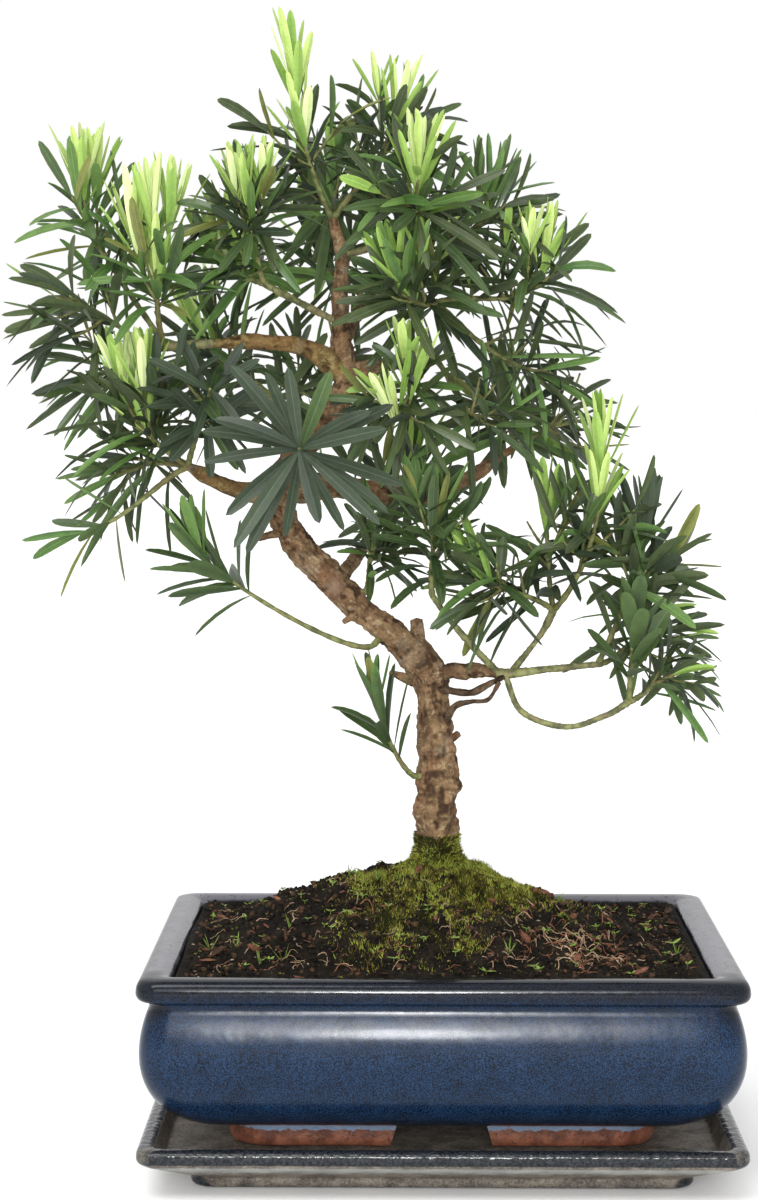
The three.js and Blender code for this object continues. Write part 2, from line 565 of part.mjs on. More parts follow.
/** The space of one mass: within its reach, and on its own side of the flat wall that stands
 *  between it and each other mass, so that every space is convex and no two of them meet. */
function spaceOf(mass) {
  const centre = vector(mass.centre);
  const walls = MASSES.filter((other) => other !== mass).map((other) => {
    const toOther = vector(other.centre).sub(centre);
    const distance = toOther.length();
    const share = (distance ** 2 + mass.reach ** 2 - other.reach ** 2) / (2 * distance);
    return { normal: toOther.divideScalar(distance), share };
  });
  return (point, margin) => {
    const from = point.clone().sub(centre);
    return from.length() <= mass.reach - margin
      && walls.every(({ normal, share }) => from.dot(normal) <= share - margin);
  };
}

/** Short straight pieces of a curve, each with a radius, that nothing else may touch. */
function obstaclesAlong(curve, radiusAt, pieces) {
  return Array.from({ length: pieces }, (_, piece) => ({
    start: curve.getPoint(piece / pieces),
    end: curve.getPoint((piece + 1) / pieces),
    radius: Math.max(radiusAt(piece / pieces), radiusAt((piece + 1) / pieces)),
  }));
}

/** The least distance between two straight pieces, found by stepping along the first. */
function distanceBetween(start, end, piece) {
  const line = new THREE.Line3(piece.start, piece.end);
  const nearest = new THREE.Vector3();
  let least = Infinity;
  const steps = 16;
  for (let step = 0; step <= steps; step += 1) {
    const point = start.clone().lerp(end, step / steps);
    line.closestPointToPoint(point, true, nearest);
    least = Math.min(least, nearest.distanceTo(point));
  }
  return least;
}

/** Says whether a straight piece of a given half width keeps clear of every obstacle. */
function isClear(start, end, halfWidth, obstacles) {
  return obstacles.every((piece) => (
    distanceBetween(start, end, piece) > piece.radius + halfWidth + CLEARANCE));
}

/** The leaves of one shoot: they follow the golden turn, wide below and upright at the tip, and a
 *  leaf is the longest of its lengths that stays in the mass's space and touches no limb. */
function leavesOn(shoot, count, mass, seed, isInside, obstacles) {
  const leaves = [];
  const placed = [];
  const firstStation = 1 - LEAFY_SHARE * Math.min(1, mass.reach / shoot.getLength());
  for (let j = 0; j < count; j += 1) {
    const rise = count > 1 ? j / (count - 1) : 1;
    const station = THREE.MathUtils.lerp(firstStation, 0.98, rise);
    const root = shoot.getPoint(station);
    const along = shoot.getTangent(station);
    const pitch = THREE.MathUtils.lerp(LOWEST_PITCH, mass.open ?? LAST_PITCH, rise ** 1.2);
    const full = mass.leaf * (0.85 + 0.25 * draw(seed, 60 + j)) * (1 - 0.15 * rise);
    const tries = LENGTH_STEPS.flatMap((step) => TURN_STEPS.map((turnStep) => {
      const turn = GOLDEN_TURN * j + 2 * Math.PI * draw(seed, 50) + turnStep;
      return leafCorners(root, leaning(along, turn, pitch), along, full * step);
    }));
    const corners = tries.find((leaf) => {
      const beyondRoot = root.clone().lerp(leaf[4], ROOT_SHARE);
      return leaf.every((corner) => isInside(corner, SPACE_MARGIN))
        && isClear(leaf[0], leaf[4], LEAF_WIDTH / 3, obstacles)
        && isClear(beyondRoot, leaf[4], LEAF_HALF_GAP, placed);
    });
    if (corners) {
      leaves.push(leafSolid(corners));
      const beyondRoot = root.clone().lerp(corners[4], ROOT_SHARE);
      placed.push({ start: beyondRoot, end: corners[4], radius: LEAF_HALF_GAP });
    }
  }
  return leaves;
}

/** A thin three-sided twig along a curve, from one radius to another. */
function twigSolid(curve, from, to, steps) {
  const stations = Array.from({ length: steps + 1 }, (_, step) => step / steps);
  const radiusAt = (station) => THREE.MathUtils.lerp(from, to, station);
  return solidOf(loft(ringsAlong(curve, stations, 3, radiusAt)));
}

/** One mass: its stem, its side shoots and its leaves, fused. */
function massSolid(mass, seed, stems, limbObstacles) {
  const stem = stems[seed];
  const isInside = spaceOf(mass);
  const otherStems = stems.filter((_, other) => other !== seed)
    .flatMap((other) => obstaclesAlong(other, () => STEM_RADIUS, 6));
  const obstacles = [...limbObstacles, ...otherStems];
  const shoots = shootsOf(mass, stem, seed).filter((shoot) => {
    const [root, tip] = [shoot.getPoint(0), shoot.getPoint(1)];
    return isInside(root, SHOOT_RADIUS) && isInside(tip, SHOOT_RADIUS)
      && isClear(root, tip, SHOOT_RADIUS + 1, obstacles);
  });
  const onMain = Math.ceil(mass.leaves * (shoots.length ? 0.5 : 1));
  const onSide = shoots.length ? Math.round((mass.leaves - onMain) / shoots.length) : 0;
  let solid = twigSolid(stem, STEM_RADIUS, SHOOT_RADIUS, STEM_STEPS);
  shoots.forEach((shoot) => {
    solid = solid.add(twigSolid(shoot, SHOOT_RADIUS, SHOOT_TIP_RADIUS, SHOOT_STEPS));
  });
  [stem, ...shoots].forEach((shoot, k) => {
    const count = k === 0 ? onMain : onSide;
    leavesOn(shoot, count, mass, 100 * seed + k, isInside, obstacles).forEach((leaf) => {
      solid = solid.add(leaf);
    });
  });
  return solid;
}

// The whole plant

const material = (kind) => new THREE.MeshStandardMaterial(COLOURS[kind]);

function named(name, geometry, kind) {
  const mesh = new THREE.Mesh(geometry, material(kind));
  mesh.name = name;
  return mesh;
}

function buildPottery(trunkGrown) {
  const group = new THREE.Group();
  group.add(named("tray", trayGeometry(), "glaze"));
  group.add(named("pot", potGeometry(), "glaze"));
  group.add(named("soil", soilGeometry(), "soil"));
  group.add(named("moss", mossGeometry(trunkGrown), "moss"));
  return group;
}

function buildLimbs() {
  const group = new THREE.Group();
  group.add(named("trunk", geometryOf(trunkSolid()), "bark"));
  LIMBS.slice(1).forEach(({ name, from, path }) => {
    const carrier = from === "trunk"
      ? trunkSolid(CLEARANCE)
      : limbSolid(LIMBS.find((limb) => limb.name === from).path, BOUGH_SIDES, CLEARANCE);
    group.add(named(name, geometryOf(limbSolid(path, BOUGH_SIDES).subtract(carrier)), "bark"));
  });
  return group;
}

function buildFoliage() {
  const group = new THREE.Group();
  const seats = forkedSeats();
  const stems = MASSES.map((mass, k) => stemOf(mass, seats[k]));
  const limbObstacles = [...LIMBS.map(({ path }) => path), ...STUBS].flatMap((path) => {
    const { curve, radiusAt, steps } = limbLine(path);
    return obstaclesAlong(curve, radiusAt, steps);
  });
  MASSES.forEach((mass, seed) => {
    group.add(named(mass.name, geometryOf(massSolid(mass, seed, stems, limbObstacles)), "leaf"));
  });
  return group;
}

const bonsai = new THREE.Group();
bonsai.name = "buddhist_pine_bonsai";
bonsai.add(buildPottery(trunkSolid(CLEARANCE)), buildLimbs(), buildFoliage());

export default bonsai;
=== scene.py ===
"""A buddhist pine grown as a bonsai, in its glazed pot and tray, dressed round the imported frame.

Lengths are in millimetres in the frame's own axes, and become metres where a mesh is made.
"""

import math

import bpy
import numpy as np
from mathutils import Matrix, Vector


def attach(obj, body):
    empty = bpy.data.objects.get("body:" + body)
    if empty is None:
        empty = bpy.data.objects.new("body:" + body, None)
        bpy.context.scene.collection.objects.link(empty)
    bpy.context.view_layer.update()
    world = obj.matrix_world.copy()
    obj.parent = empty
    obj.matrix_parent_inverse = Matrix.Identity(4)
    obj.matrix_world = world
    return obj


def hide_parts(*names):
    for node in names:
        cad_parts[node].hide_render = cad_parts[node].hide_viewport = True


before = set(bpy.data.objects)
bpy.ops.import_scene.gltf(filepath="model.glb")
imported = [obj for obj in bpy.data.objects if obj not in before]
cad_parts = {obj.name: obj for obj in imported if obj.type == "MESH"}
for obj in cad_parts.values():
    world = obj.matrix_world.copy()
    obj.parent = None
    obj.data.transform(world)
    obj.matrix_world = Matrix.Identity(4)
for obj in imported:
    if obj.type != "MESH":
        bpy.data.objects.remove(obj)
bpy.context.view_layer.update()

MM = 0.001

# The camera's fit to the photograph, in pixels, millimetres and radians
PHOTO_HEIGHT = 1200
FOCAL_PIXELS = 2563.7
CAMERA_PLACE = (-13.2, -1109.6, 328.7)
CAMERA_YAW = 0.0124
CAMERA_TILT = 0.0818
SENSOR = 36.0

# The pottery
HALF_LENGTH = 125.0
HALF_DEPTH = 95.0
TRAY_FLOOR = 13.0
POT_UNDERSIDE = 24.8
POT_CORNER = 13.0
POT_FLOOR = 32.0
BELLY_HEIGHT = 58.0
BELLY_BELOW = 30.0
BELLY_WIDE = 0.8
BELLY_STEPS = 14
NECK_INSET = 5.0
NECK_HEIGHT = 78.0
FOOT_BASE = 13.3
FOOT_TOP = 30.8
FOOT_HALF = (90.5, 61.0)
FOOT_WIDTH = 17.0
FOOT_CORNER = 14.0
FOOT_GAP_HALF = (16.5, 23.0)
FOOT_SLANT = 5.0
FOOT_STATIONS = 40
# The steps of a ring's quarter circle and of its straight side, and the signs of x and y in each quarter
CORNER_STEPS = 10
SIDE_STEPS = 16
QUARTERS = ((1, 1), (-1, 1), (-1, -1), (1, -1))

# The soil and the moss
SOIL_EDGE = 88.8
SOIL_RISE = 30.0
SOIL_MIDDLE = (-10.0, 0.0)
SOIL_HALF = (115.0, 85.0)
SOIL_INSET = 15.4
SOIL_WALL = (HALF_LENGTH - SOIL_INSET, HALF_DEPTH - SOIL_INSET)
SOIL_RINGS = 120
SEAT = (-2.0, 0.0)
SEAT_HEIGHT = 119.0
SEAT_RADIUS = 15.0
COLLAR_HEIGHT = 15.0
COLLAR_BLADES = 2600
MOSS_MIDDLE = (8.0, -3.0)
MOSS_HALF = (33.0, 27.0)
MOSS_REACH = (44.0, 31.0)
MOSS_PATCH = (-16.0, -48.0)
MOSS_PATCH_HALF = (34.0, 26.0)
MOSS_TRIALS = 56000
# Crumbs: how many, the smallest and the largest radius, the stretch, and the finishes to pick from
CRUMB_GROUPS = [
    (3600, 0.4, 1.7, (1, 0.85, 0.7), (0, 0, 0, 1)),
    (1700, 0.3, 0.9, (1.3, 0.9, 0.5), (3, 4, 4, 1, 1)),
    (220, 1.2, 2.8, (1.6, 0.7, 0.35), (1, 0, 2)),
    (70, 1.8, 4.4, (1.9, 0.6, 0.22), (2, 1, 1))]
ROOTLETS_IN_ALL = 420
ROOTLETS_IN_NEST = 150
NEST_MIDDLE = (56.0, -46.0)
NEST_SPREAD = (14.0, 10.0)
SEEDLINGS_IN_ALL = 120
# Where the largest seedlings stand on the soil
SEEDLING_SPOTS = [
    (-66, -60), (-98, -40), (28, -58), (44, -40), (18, -72), (40, -72), (100, -20), (-20, -66)]

# The growth rule: leaves and shoots follow the golden turn, and keep clear of the limbs
GOLDEN_TURN = math.radians(137.508)
CLEARANCE = 1.0
STEM_FORK = math.radians(64)
FORK_ROUNDS = 60
LENGTH_STEPS = (1.0, 0.84, 0.7, 0.56)
LEAFY_SHARE = 0.85
TUFT_SHARE = 0.5
LOWEST_PITCH = 1.25
LAST_PITCH = 0.35

# The stations along a limb's mesh and round it, and those among which a stem's seat is found
TRUNK_STATIONS = 640
TRUNK_ROUND = 120
STUB_STATIONS = 60
STUB_ROUND = 36
BOUGH_STATIONS = 150
BROWN_ROUND = 40
GREEN_ROUND = 32
SEAT_STATIONS = 201

# Every limb runs through its own points: x, y, z and the limb's diameter there. A bough's node has
# the name bough_ and then the name here.
LIMBS = {
    "trunk": [
        (-2, 0, 119.3, 25), (-2, 0, 135, 18.5), (-2, 0, 159, 20), (-4, 0, 192, 20), (-9, 0, 210, 21),
        (-21, 0, 221.5, 18.5), (-38, 1, 236, 17), (-53, 1, 251, 16.5), (-65, 0, 266, 16),
        (-70, -1, 281, 15.5), (-65, 0, 298, 14), (-50, 2, 316, 13), (-41, 4, 333, 11.5),
        (-43, 5, 350, 10), (-44, 5, 368, 8.8), (-43, 5, 385, 7.8), (-47, 4, 402, 7)],
    "right_low": [
        (-5, 0, 205, 9.5), (12, -2, 207.5, 9), (27, -4, 206, 8.4), (46, -4, 208, 5), (68, -2, 210, 5.2)],
    "right_low_inner": [(24, -4, 207, 5.4), (13, -9, 219, 5), (3, -13, 231, 4.6), (-4, -14, 241, 4.4)],
    "right_low_upper": [(30, -3, 206, 5), (43, 2, 222, 4.6), (49, 4, 233, 5.8)],
    "right_low_sagging": [
        (28, -5, 205, 4.8), (35, -9, 190, 4.4), (54, -12, 184, 4.2), (71, -12, 189, 4.4),
        (81, -12, 195, 5.2)],
    "right_mid": [
        (-68, 0, 287, 10), (-44, 15, 286, 9.5), (-18, 24, 282, 8.5), (6, 26, 286, 6.5), (32, 26, 303, 5.4)],
    "left_low": [(-70, -1, 284, 8), (-89, -6, 286, 7.2), (-109, -8, 296, 6.6)],
    "left_mid": [
        (-41, 4, 334, 8.5), (-57, 2, 346, 7.5), (-76, 0, 349, 6.6), (-98, -3, 348.5, 6.4),
        (-119, -5, 347, 6.8)],
    "left_high": [(-43, 5, 357, 5.8), (-61, 0, 366, 5.2), (-76, -4, 374, 5.2)],
    "right_high": [(-41, 4, 336, 6.4), (-20, 9, 340, 5.4), (-5, 11, 344, 5.2)],
    "right_upper": [(-44, 5, 368, 6), (-22, 4, 366, 5.4), (-2, 0, 366, 5.8)],
    "top_right": [(-43, 5, 386, 5.2), (-28, 1, 390, 5), (-13, -2, 392, 5.2)],
    "front": [(-68, 0, 290, 6), (-66, -24, 296, 5), (-60, -48, 302, 4.4)],
    "back_low": [(-46, 1, 244, 7), (-38, 24, 254, 5.8), (-30, 44, 264, 4.8)],
    "back_mid": [(-60, 0, 305, 7), (-68, 26, 314, 5.6), (-74, 48, 324, 5.4)],
    "back_high": [(-43, 5, 350, 6), (-38, 26, 360, 5.2), (-33, 44, 368, 5.4)],
}

# What stands on the trunk, drawn as the limbs are: short cut stubs, and two thin dead twigs
STUBS = [
    [(-9, 0, 212, 7), (-10.5, 1, 229, 5.6)],
    [(-66, -2, 268, 5), (-79, -4, 265, 2.6)],
    [(-12, -4, 203, 5), (-22, -9, 207, 2.4)],
    [(-1, -2, 180, 4.4), (1, -3, 182, 4.2), (5.5, -8, 192, 3.1), (13, -10, 194.5, 2.6),
     (20.5, -10, 195.5, 2.4), (25, -10, 203, 1.6)],
    [(-2, -3, 199.5, 4.2), (3, -6, 199, 3.6), (13, -10, 198.5, 3), (20, -9, 202, 2.8), (27, -6, 205, 2.6)],
    [(-36, -4, 233, 4), (-42, -9, 229, 2.4)],
    [(-49, -5, 315, 3.6), (-55, -10, 320, 2)],
    [(1, 2, 174, 4.4), (8, 3, 179, 2.6)],
]
DEAD_STUBS = (3, 4)
# The boughs with brown bark, up to which of their points: the rest is young, green and thinner
BROWN_BOUGHS = {
    "right_low": 3, "right_mid": 5, "left_low": 3, "left_mid": 4, "right_high": 3, "back_low": 3,
    "back_mid": 3, "back_high": 3}
GREEN_THINNER = 0.58


class Mass:
    """A mass of foliage: its limb, the middle of its space, the way its main shoot points, its
    reach, a leaf's length and width, its side shoots and the leaves of its main shoot, the tones of
    its old and of its new leaves, how many shoots end in a flush, and the angle at which its last
    leaves stay open, wide for a rosette."""

    def __init__(self, limb, centre, aim, reach, leaf, width, sides, leafy, old, new, flushes, opening=0):
        self.limb, self.centre, self.aim, self.reach = limb, centre, aim, reach
        self.leaf, self.width, self.sides, self.leafy = leaf, width, sides, leafy
        self.old, self.new, self.flushes, self.opening = old, new, flushes, opening


MASSES = {
    "top": ("trunk", (-62, 0, 449), (-0.12, 0, 1), 46, 37, 5, 1, 10, "dark", "young", 1),
    "top_right": ("trunk", (-22, 12, 436), (0.4, 0.1, 1), 40, 36, 4.2, 2, 13, "dark", "young", 2),
    "top_back": ("trunk", (-48, 40, 412), (0, 0.5, 1), 40, 40, 4.6, 2, 12, "dark", "fresh", 1),
    "upper_left": ("left_high", (-80, -14, 400), (-0.2, -0.7, 0.45), 37, 38, 4.4, 2, 13, "dark", "young", 3),
    "upper_front": ("top_right", (-12, -24, 408), (0.12, -0.7, 0.5), 42, 40, 4.6, 2, 14, "dark", "young", 2),
    "upper_right": ("top_right", (19, 12, 400), (0.4, 0.1, 1), 42, 44, 4.0, 2, 13, "dark", "green", 1),
    "right_tip": ("right_upper", (42, 0, 370), (0.15, -0.4, 0.8), 42, 40, 4.4, 2, 14, "dark", "young", 3),
    "right_middle": (
        "right_upper", (36, 12, 337), (1, 0.1, -0.1), 42, 46, 3.6, 2, 9, "dark", "dark", 0, 0.45),
    "heart": ("right_upper", (-10, -28, 364), (-0.8, -0.4, 0.5), 40, 40, 4.6, 2, 14, "dark", "fresh", 3),
    "heart_low": (
        "right_high", (-17, -36, 322), (-0.25, -0.5, -0.55), 38, 34, 4.4, 2, 12, "dark", "young", 3),
    "right_hang": ("right_high", (15, -8, 314), (0.5, -0.3, 0.4), 38, 42, 3.8, 2, 8, "dark", "green", 0),
    "right_droop": ("right_mid", (50, 20, 313), (1, 0, 0.2), 40, 46, 3.4, 2, 7, "dark", "dark", 0, 0.45),
    "left_spire": ("left_mid", (-155, 4, 404), (0.05, 0, 1), 42, 36, 5, 2, 12, "green", "young", 2),
    "left_tip": ("left_mid", (-152, -10, 366), (-1, -0.1, 0.15), 42, 56, 4.8, 2, 10, "dark", "dark", 0, 0.4),
    "left_crown": ("left_mid", (-121, -20, 388), (-0.1, -0.1, 1), 42, 40, 4.8, 2, 10, "green", "young", 3),
    "left_inner": ("left_high", (-98, 10, 380), (0, -0.8, 0.6), 38, 38, 4.6, 2, 10, "green", "young", 3),
    "left_droop": (
        "left_mid", (-144, 18, 336), (-0.9, 0.2, -0.5), 40, 48, 3.8, 2, 12, "dark", "dark", 0, 0.45),
    "left_lower": ("left_low", (-133, -22, 320), (-0.3, -0.3, 1), 38, 38, 4.8, 2, 13, "dark", "young", 3),
    "left_rosette": ("left_low", (-97, -40, 326), (0.1, -1, 0.3), 36, 38, 5.2, 1, 13, "blue", "blue", 0, 0.9),
    "left_under": ("left_low", (-132, 8, 296), (-0.8, 0.3, -0.3), 38, 46, 3.8, 2, 12, "dark", "dark", 0, 0.5),
    "left_twig": ("left_low", (-144, -14, 270), (-1, 0, -0.25), 37, 44, 4.8, 0, 7, "green", "fresh", 0),
    "front_rosette": ("front", (-58, -66, 304), (0, -1, 0.08), 51, 50, 5.9, 0, 19, "blue", "blue", 0, 1.15),
    "behind_trunk": ("trunk", (-30, 8, 265), (0.5, 0.1, 0.6), 31, 32, 4, 2, 11, "dark", "dark", 0),
    "inner_low": ("right_low_inner", (-3, -18, 266), (0, -0.1, 1), 38, 36, 5, 2, 14, "deep", "green", 2),
    "low_spire": ("right_low_upper", (69, -16, 290), (-0.15, -0.1, 1), 42, 36, 5, 2, 8, "dark", "young", 1),
    "low_middle": ("right_low_upper", (46, 4, 264), (-0.1, 0.1, 1), 38, 38, 4.8, 2, 11, "dark", "fresh", 1),
    "low_inner": (
        "right_low_upper", (24, -10, 244), (-0.7, -0.3, 0.3), 38, 36, 4.8, 2, 13, "dark", "fresh", 1),
    "low_upper": ("right_low", (88, 8, 256), (0.2, 0.1, 1), 41, 40, 6, 2, 13, "dark", "blue", 1),
    "low_tip": ("right_low", (88, 16, 222), (0.8, 0.1, 0.25), 38, 44, 3.8, 2, 13, "dark", "green", 0),
    "sagging_spire": (
        "right_low_sagging", (81, -25, 222), (0.05, -0.3, 1), 33, 33, 8.6, 0, 8, "deep", "deep", 1, 0.3),
    "sagging_tip": (
        "right_low_sagging", (92, -17, 205), (1, -0.1, 0.3), 32, 40, 3.8, 1, 11, "dark", "dark", 0, 0.45),
    "twig_left": ("trunk", (-99, -12, 252), (-0.7, 0, 0.9), 36, 36, 6.2, 0, 15, "deep", "green", 1, 0.45),
    "twig_low": ("trunk", (-27, -12, 189), (-0.1, -0.1, 1), 31, 36, 5.2, 0, 11, "deep", "green", 1, 0.25),
    "back_top": ("back_high", (-54, 70, 386), (-0.3, 0.7, 0.7), 42, 42, 4.6, 2, 14, "dark", "young", 2),
    "back_right": ("back_high", (-4, 60, 380), (0.6, 0.4, 0.7), 42, 42, 4.6, 2, 14, "dark", "young", 2),
    "back_side": ("right_mid", (28, 56, 318), (0.3, 1, 0.3), 42, 42, 4.6, 2, 13, "dark", "green", 1),
    "back_left": ("back_mid", (-102, 56, 346), (-0.8, 0.4, 0.6), 42, 42, 4.6, 2, 14, "dark", "young", 2),
    "back_middle": ("back_mid", (-60, 76, 330), (0.2, 1, 0.2), 42, 42, 4.8, 2, 14, "dark", "dark", 0),
    "back_low": ("back_low", (-16, 62, 286), (0.4, 0.7, 0.6), 40, 40, 4.6, 2, 13, "dark", "fresh", 1),
}
MASSES = {name: Mass(*row) for name, row in MASSES.items()}
# The masses that grow from the trunk's side, with the height at which their stems leave it
TRUNK_STEMS = {"behind_trunk": 236, "twig_left": 224, "twig_low": 162}
# Where the crown is open: the middle of the gap in x and z, and its half sizes
CROWN_GAP = (36, 280, 19, 15)
# The share of a shoot that its flush takes, the angles of its first and last leaves, and their number
FLUSH_SHARE = 0.42
FLUSH_PITCH = (0.52, 0.08)
FLUSH_LEAVES = 10
# The masses whose main flush stands in two tiers, and the share of the shoot that they take
TWO_TIERS = ("top", "left_crown", "left_inner", "left_lower", "low_spire")
TIERS_SHARE = 0.88
# Where the leaves of a flush stand on it, as shares: of a single one, then of a lower and an upper tier
FLUSH_SPAN = ((0.3, 1), (0.05, 0.32), (0.64, 1))

# Shader values


def joined(operation, swapped=False):
    """A method that joins a value to another with a Math node, the other one first if swapped."""
    def method(self, other):
        first, second = (other, self) if swapped else (self, other)
        return self.look.node("ShaderNodeMath", {"operation": operation}, {0: first, 1: second})
    return method


class Value:
    """A socket in a material's node tree, with the sums that the finishes use."""

    def __init__(self, look, socket):
        self.look = look
        self.socket = socket

    __add__, __radd__ = joined("ADD"), joined("ADD", True)
    __sub__, __rsub__ = joined("SUBTRACT"), joined("SUBTRACT", True)
    __mul__, __rmul__ = joined("MULTIPLY"), joined("MULTIPLY", True)

    def between(self, low, high):
        """0 below low, 1 above high, and a smooth step from one to the other."""
        sockets = {"Value": self, "From Min": low, "From Max": high}
        return self.look.node("ShaderNodeMapRange", {"interpolation_type": "SMOOTHSTEP"}, sockets)


class Look:
    """One material: its node tree, its shader, and the nodes that the finishes are made of."""

    def __init__(self, name, **shader):
        self.material = bpy.data.materials.new(name)
        self.material.use_nodes = True
        self.tree = self.material.node_tree
        self.shader = self.tree.nodes["Principled BSDF"]
        self.set(**shader)

    def node(self, kind, settings=None, sockets=None, out=0):
        """A node of a kind: its settings first, then its sockets' values or links."""
        made = self.tree.nodes.new(kind)
        for key, value in (settings or {}).items():
            setattr(made, key, value)
        for key, value in (sockets or {}).items():
            if isinstance(value, Value):
                self.tree.links.new(value.socket, made.inputs[key])
            else:
                made.inputs[key].default_value = value
        return Value(self, made.outputs[out])

    def set(self, **sockets):
        """Sets or links sockets of the shader, named with underscores for spaces."""
        for key, value in sockets.items():
            socket = self.shader.inputs[key.replace("_", " ")]
            if isinstance(value, Value):
                self.tree.links.new(value.socket, socket)
            elif hasattr(value, "__len__"):
                socket.default_value = (*value, 1.0)
            else:
                socket.default_value = value

    def place(self, stretch=(1, 1, 1)):
        """The point on the object in metres, stretched along its axes."""
        here = self.node("ShaderNodeTexCoord", out="Object")
        if stretch == (1, 1, 1):
            return here
        return self.node("ShaderNodeMapping", None, {"Vector": here, "Scale": stretch})

    def noise(self, where, scale, detail=3.0, roughness=0.55, distortion=0.0):
        """Smooth noise with a number of cells per metre."""
        sockets = {"Vector": where, "Scale": scale, "Detail": detail, "Roughness": roughness,
                   "Distortion": distortion}
        return self.node("ShaderNodeTexNoise", None, sockets)

    def attribute(self, name):
        """A number that the mesh carries at its points."""
        return self.node("ShaderNodeAttribute", {"attribute_name": name}, out="Fac")

    def mix(self, share, first, second):
        """A colour between two: each is a colour or a Value."""
        first, second = (c if isinstance(c, Value) else (*c, 1.0) for c in (first, second))
        return self.node("ShaderNodeMix", {"data_type": "RGBA"}, {0: share, 6: first, 7: second}, out=2)

    def bump(self, height, strength, distance):
        """Relief on the surface, its distance in metres."""
        sockets = {"Height": height, "Strength": strength, "Distance": distance}
        self.set(Normal=self.node("ShaderNodeBump", None, sockets))


# Finishes


def glaze():
    """Dark blue glaze with a fine grain. The attribute "thin" says where it turns: blue below about 0.4,
    near-black to 1.2, and grey with dark specks above, on the rim's top. That grey is a painted reflection of
    the sky, and the specks are dirt. The near-black at the belly's underside is painted shade."""
    look = Look("blue_glaze", Specular_IOR_Level=0.17, Coat_Weight=0.08, Coat_Roughness=0.1)
    here = look.place()
    speckle = look.noise(here, 1800, 2.0, 0.8).between(0.44, 0.58)
    clouds = look.noise(here, 90, 5.0, 0.65).between(0.3, 0.7)
    body = look.mix(speckle * 0.8 + clouds * 0.2, (0.001, 0.002, 0.006), (0.0115, 0.035, 0.085))
    turn = look.attribute("thin") + (look.noise(here, 160, 3.0) - 0.5) * 0.4
    dark = look.mix(speckle * 0.6, (0.002, 0.002, 0.003), (0.014, 0.02, 0.036))
    specks = look.noise(here, 400, 4.0, 0.7).between(0.57, 0.66)
    # pale: a grey painted reflection of the sky on the rim's top, with dark specks of dirt
    pale = look.mix(specks, (0.12, 0.118, 0.137), (0.015, 0.014, 0.016))
    # dark: near-black where the glaze thins, and painted shade on the belly's underside
    body = look.mix(turn.between(0.3, 0.8), body, dark)
    look.set(Base_Color=look.mix(turn.between(1.1, 1.5), body, pale))
    look.set(Roughness=0.17 + look.noise(here, 240, 2.0) * 0.1 - turn.between(0.4, 0.8) * 0.1)
    look.bump(look.noise(here, 45, 3.0), 0.25, 0.0012)
    return look.material


def tray_glaze():
    """The tray's glaze. The attribute "thin": pale and stony at 0, dirty grey-brown about 0.5,
    and near-black from 1 on, at the lip, where ripples break the light into beads."""
    look = Look("tray_glaze", Specular_IOR_Level=0.3)
    here = look.place()
    blotch = look.noise(here, 110, 6.0, 0.7).between(0.35, 0.68)
    grain = look.noise(here, 900, 3.0, 0.7).between(0.35, 0.7)
    stony = look.mix(blotch * 0.6 + grain * 0.4, (0.175, 0.178, 0.168), (0.37, 0.376, 0.352))
    dirty = look.mix(blotch * 0.5 + grain * 0.5, (0.03, 0.026, 0.022), (0.265, 0.228, 0.185))
    black = look.mix(grain, (0.004, 0.005, 0.007), (0.03, 0.034, 0.04))
    turn = look.attribute("thin") + (look.noise(here, 130, 4.0) - 0.5) * 0.3
    body = look.mix(turn.between(0.1, 0.4), stony, dirty)
    look.set(Base_Color=look.mix(turn.between(0.65, 0.9), body, black))
    look.set(Roughness=0.5 - turn.between(0.6, 0.9) * 0.33)
    look.bump(look.noise(here, 300, 1.0), 0.45, 0.0009)
    return look.material


def clay():
    """Red-brown clay under a thin clear glaze, with iron spots and a pale line under the blue: glaze drips,
    lightened as a painted highlight along the glaze's edge.
    """
    look = Look("bare_clay", IOR=1.5, Coat_Weight=0.3, Coat_Roughness=0.12)
    here = look.place()
    patches = look.noise(here, 120, 4.0, 0.65).between(0.35, 0.7)
    tint = look.mix(patches, (0.1, 0.032, 0.018), (0.27, 0.1, 0.056))
    spots = look.noise(here, 700, 2.0).between(0.62, 0.7)
    body = look.mix(spots * 0.7, tint, (0.03, 0.02, 0.016))
    # The pale line: glaze drips along the glaze's edge, lightened as a painted highlight.
    edge = look.attribute("glazed") + (look.noise(here, 260, 2.0) - 0.5) * 1.9
    look.set(Base_Color=look.mix(edge.between(0.52, 0.78), body, (0.17, 0.23, 0.33)))
    look.set(Roughness=0.3 + look.noise(here, 300, 2.0) * 0.2)
    look.bump(look.noise(here, 420, 3.0), 0.4, 0.0009)
    return look.material


def earth(name, dark, light):
    """Dry, crumbly matter: patches of two colours with a fine grain."""
    look = Look(name, Roughness=0.9, Specular_IOR_Level=0.1)
    here = look.place()
    patches = look.noise(here, 90, 5.0, 0.65).between(0.4, 0.7)
    grain = look.noise(here, 900, 3.0, 0.7).between(0.45, 0.7)
    look.set(Base_Color=look.mix(patches * 0.5 + grain * 0.5, dark, light))
    look.bump(look.noise(here, 700, 4.0, 0.7), 0.8, 0.001)
    return look.material


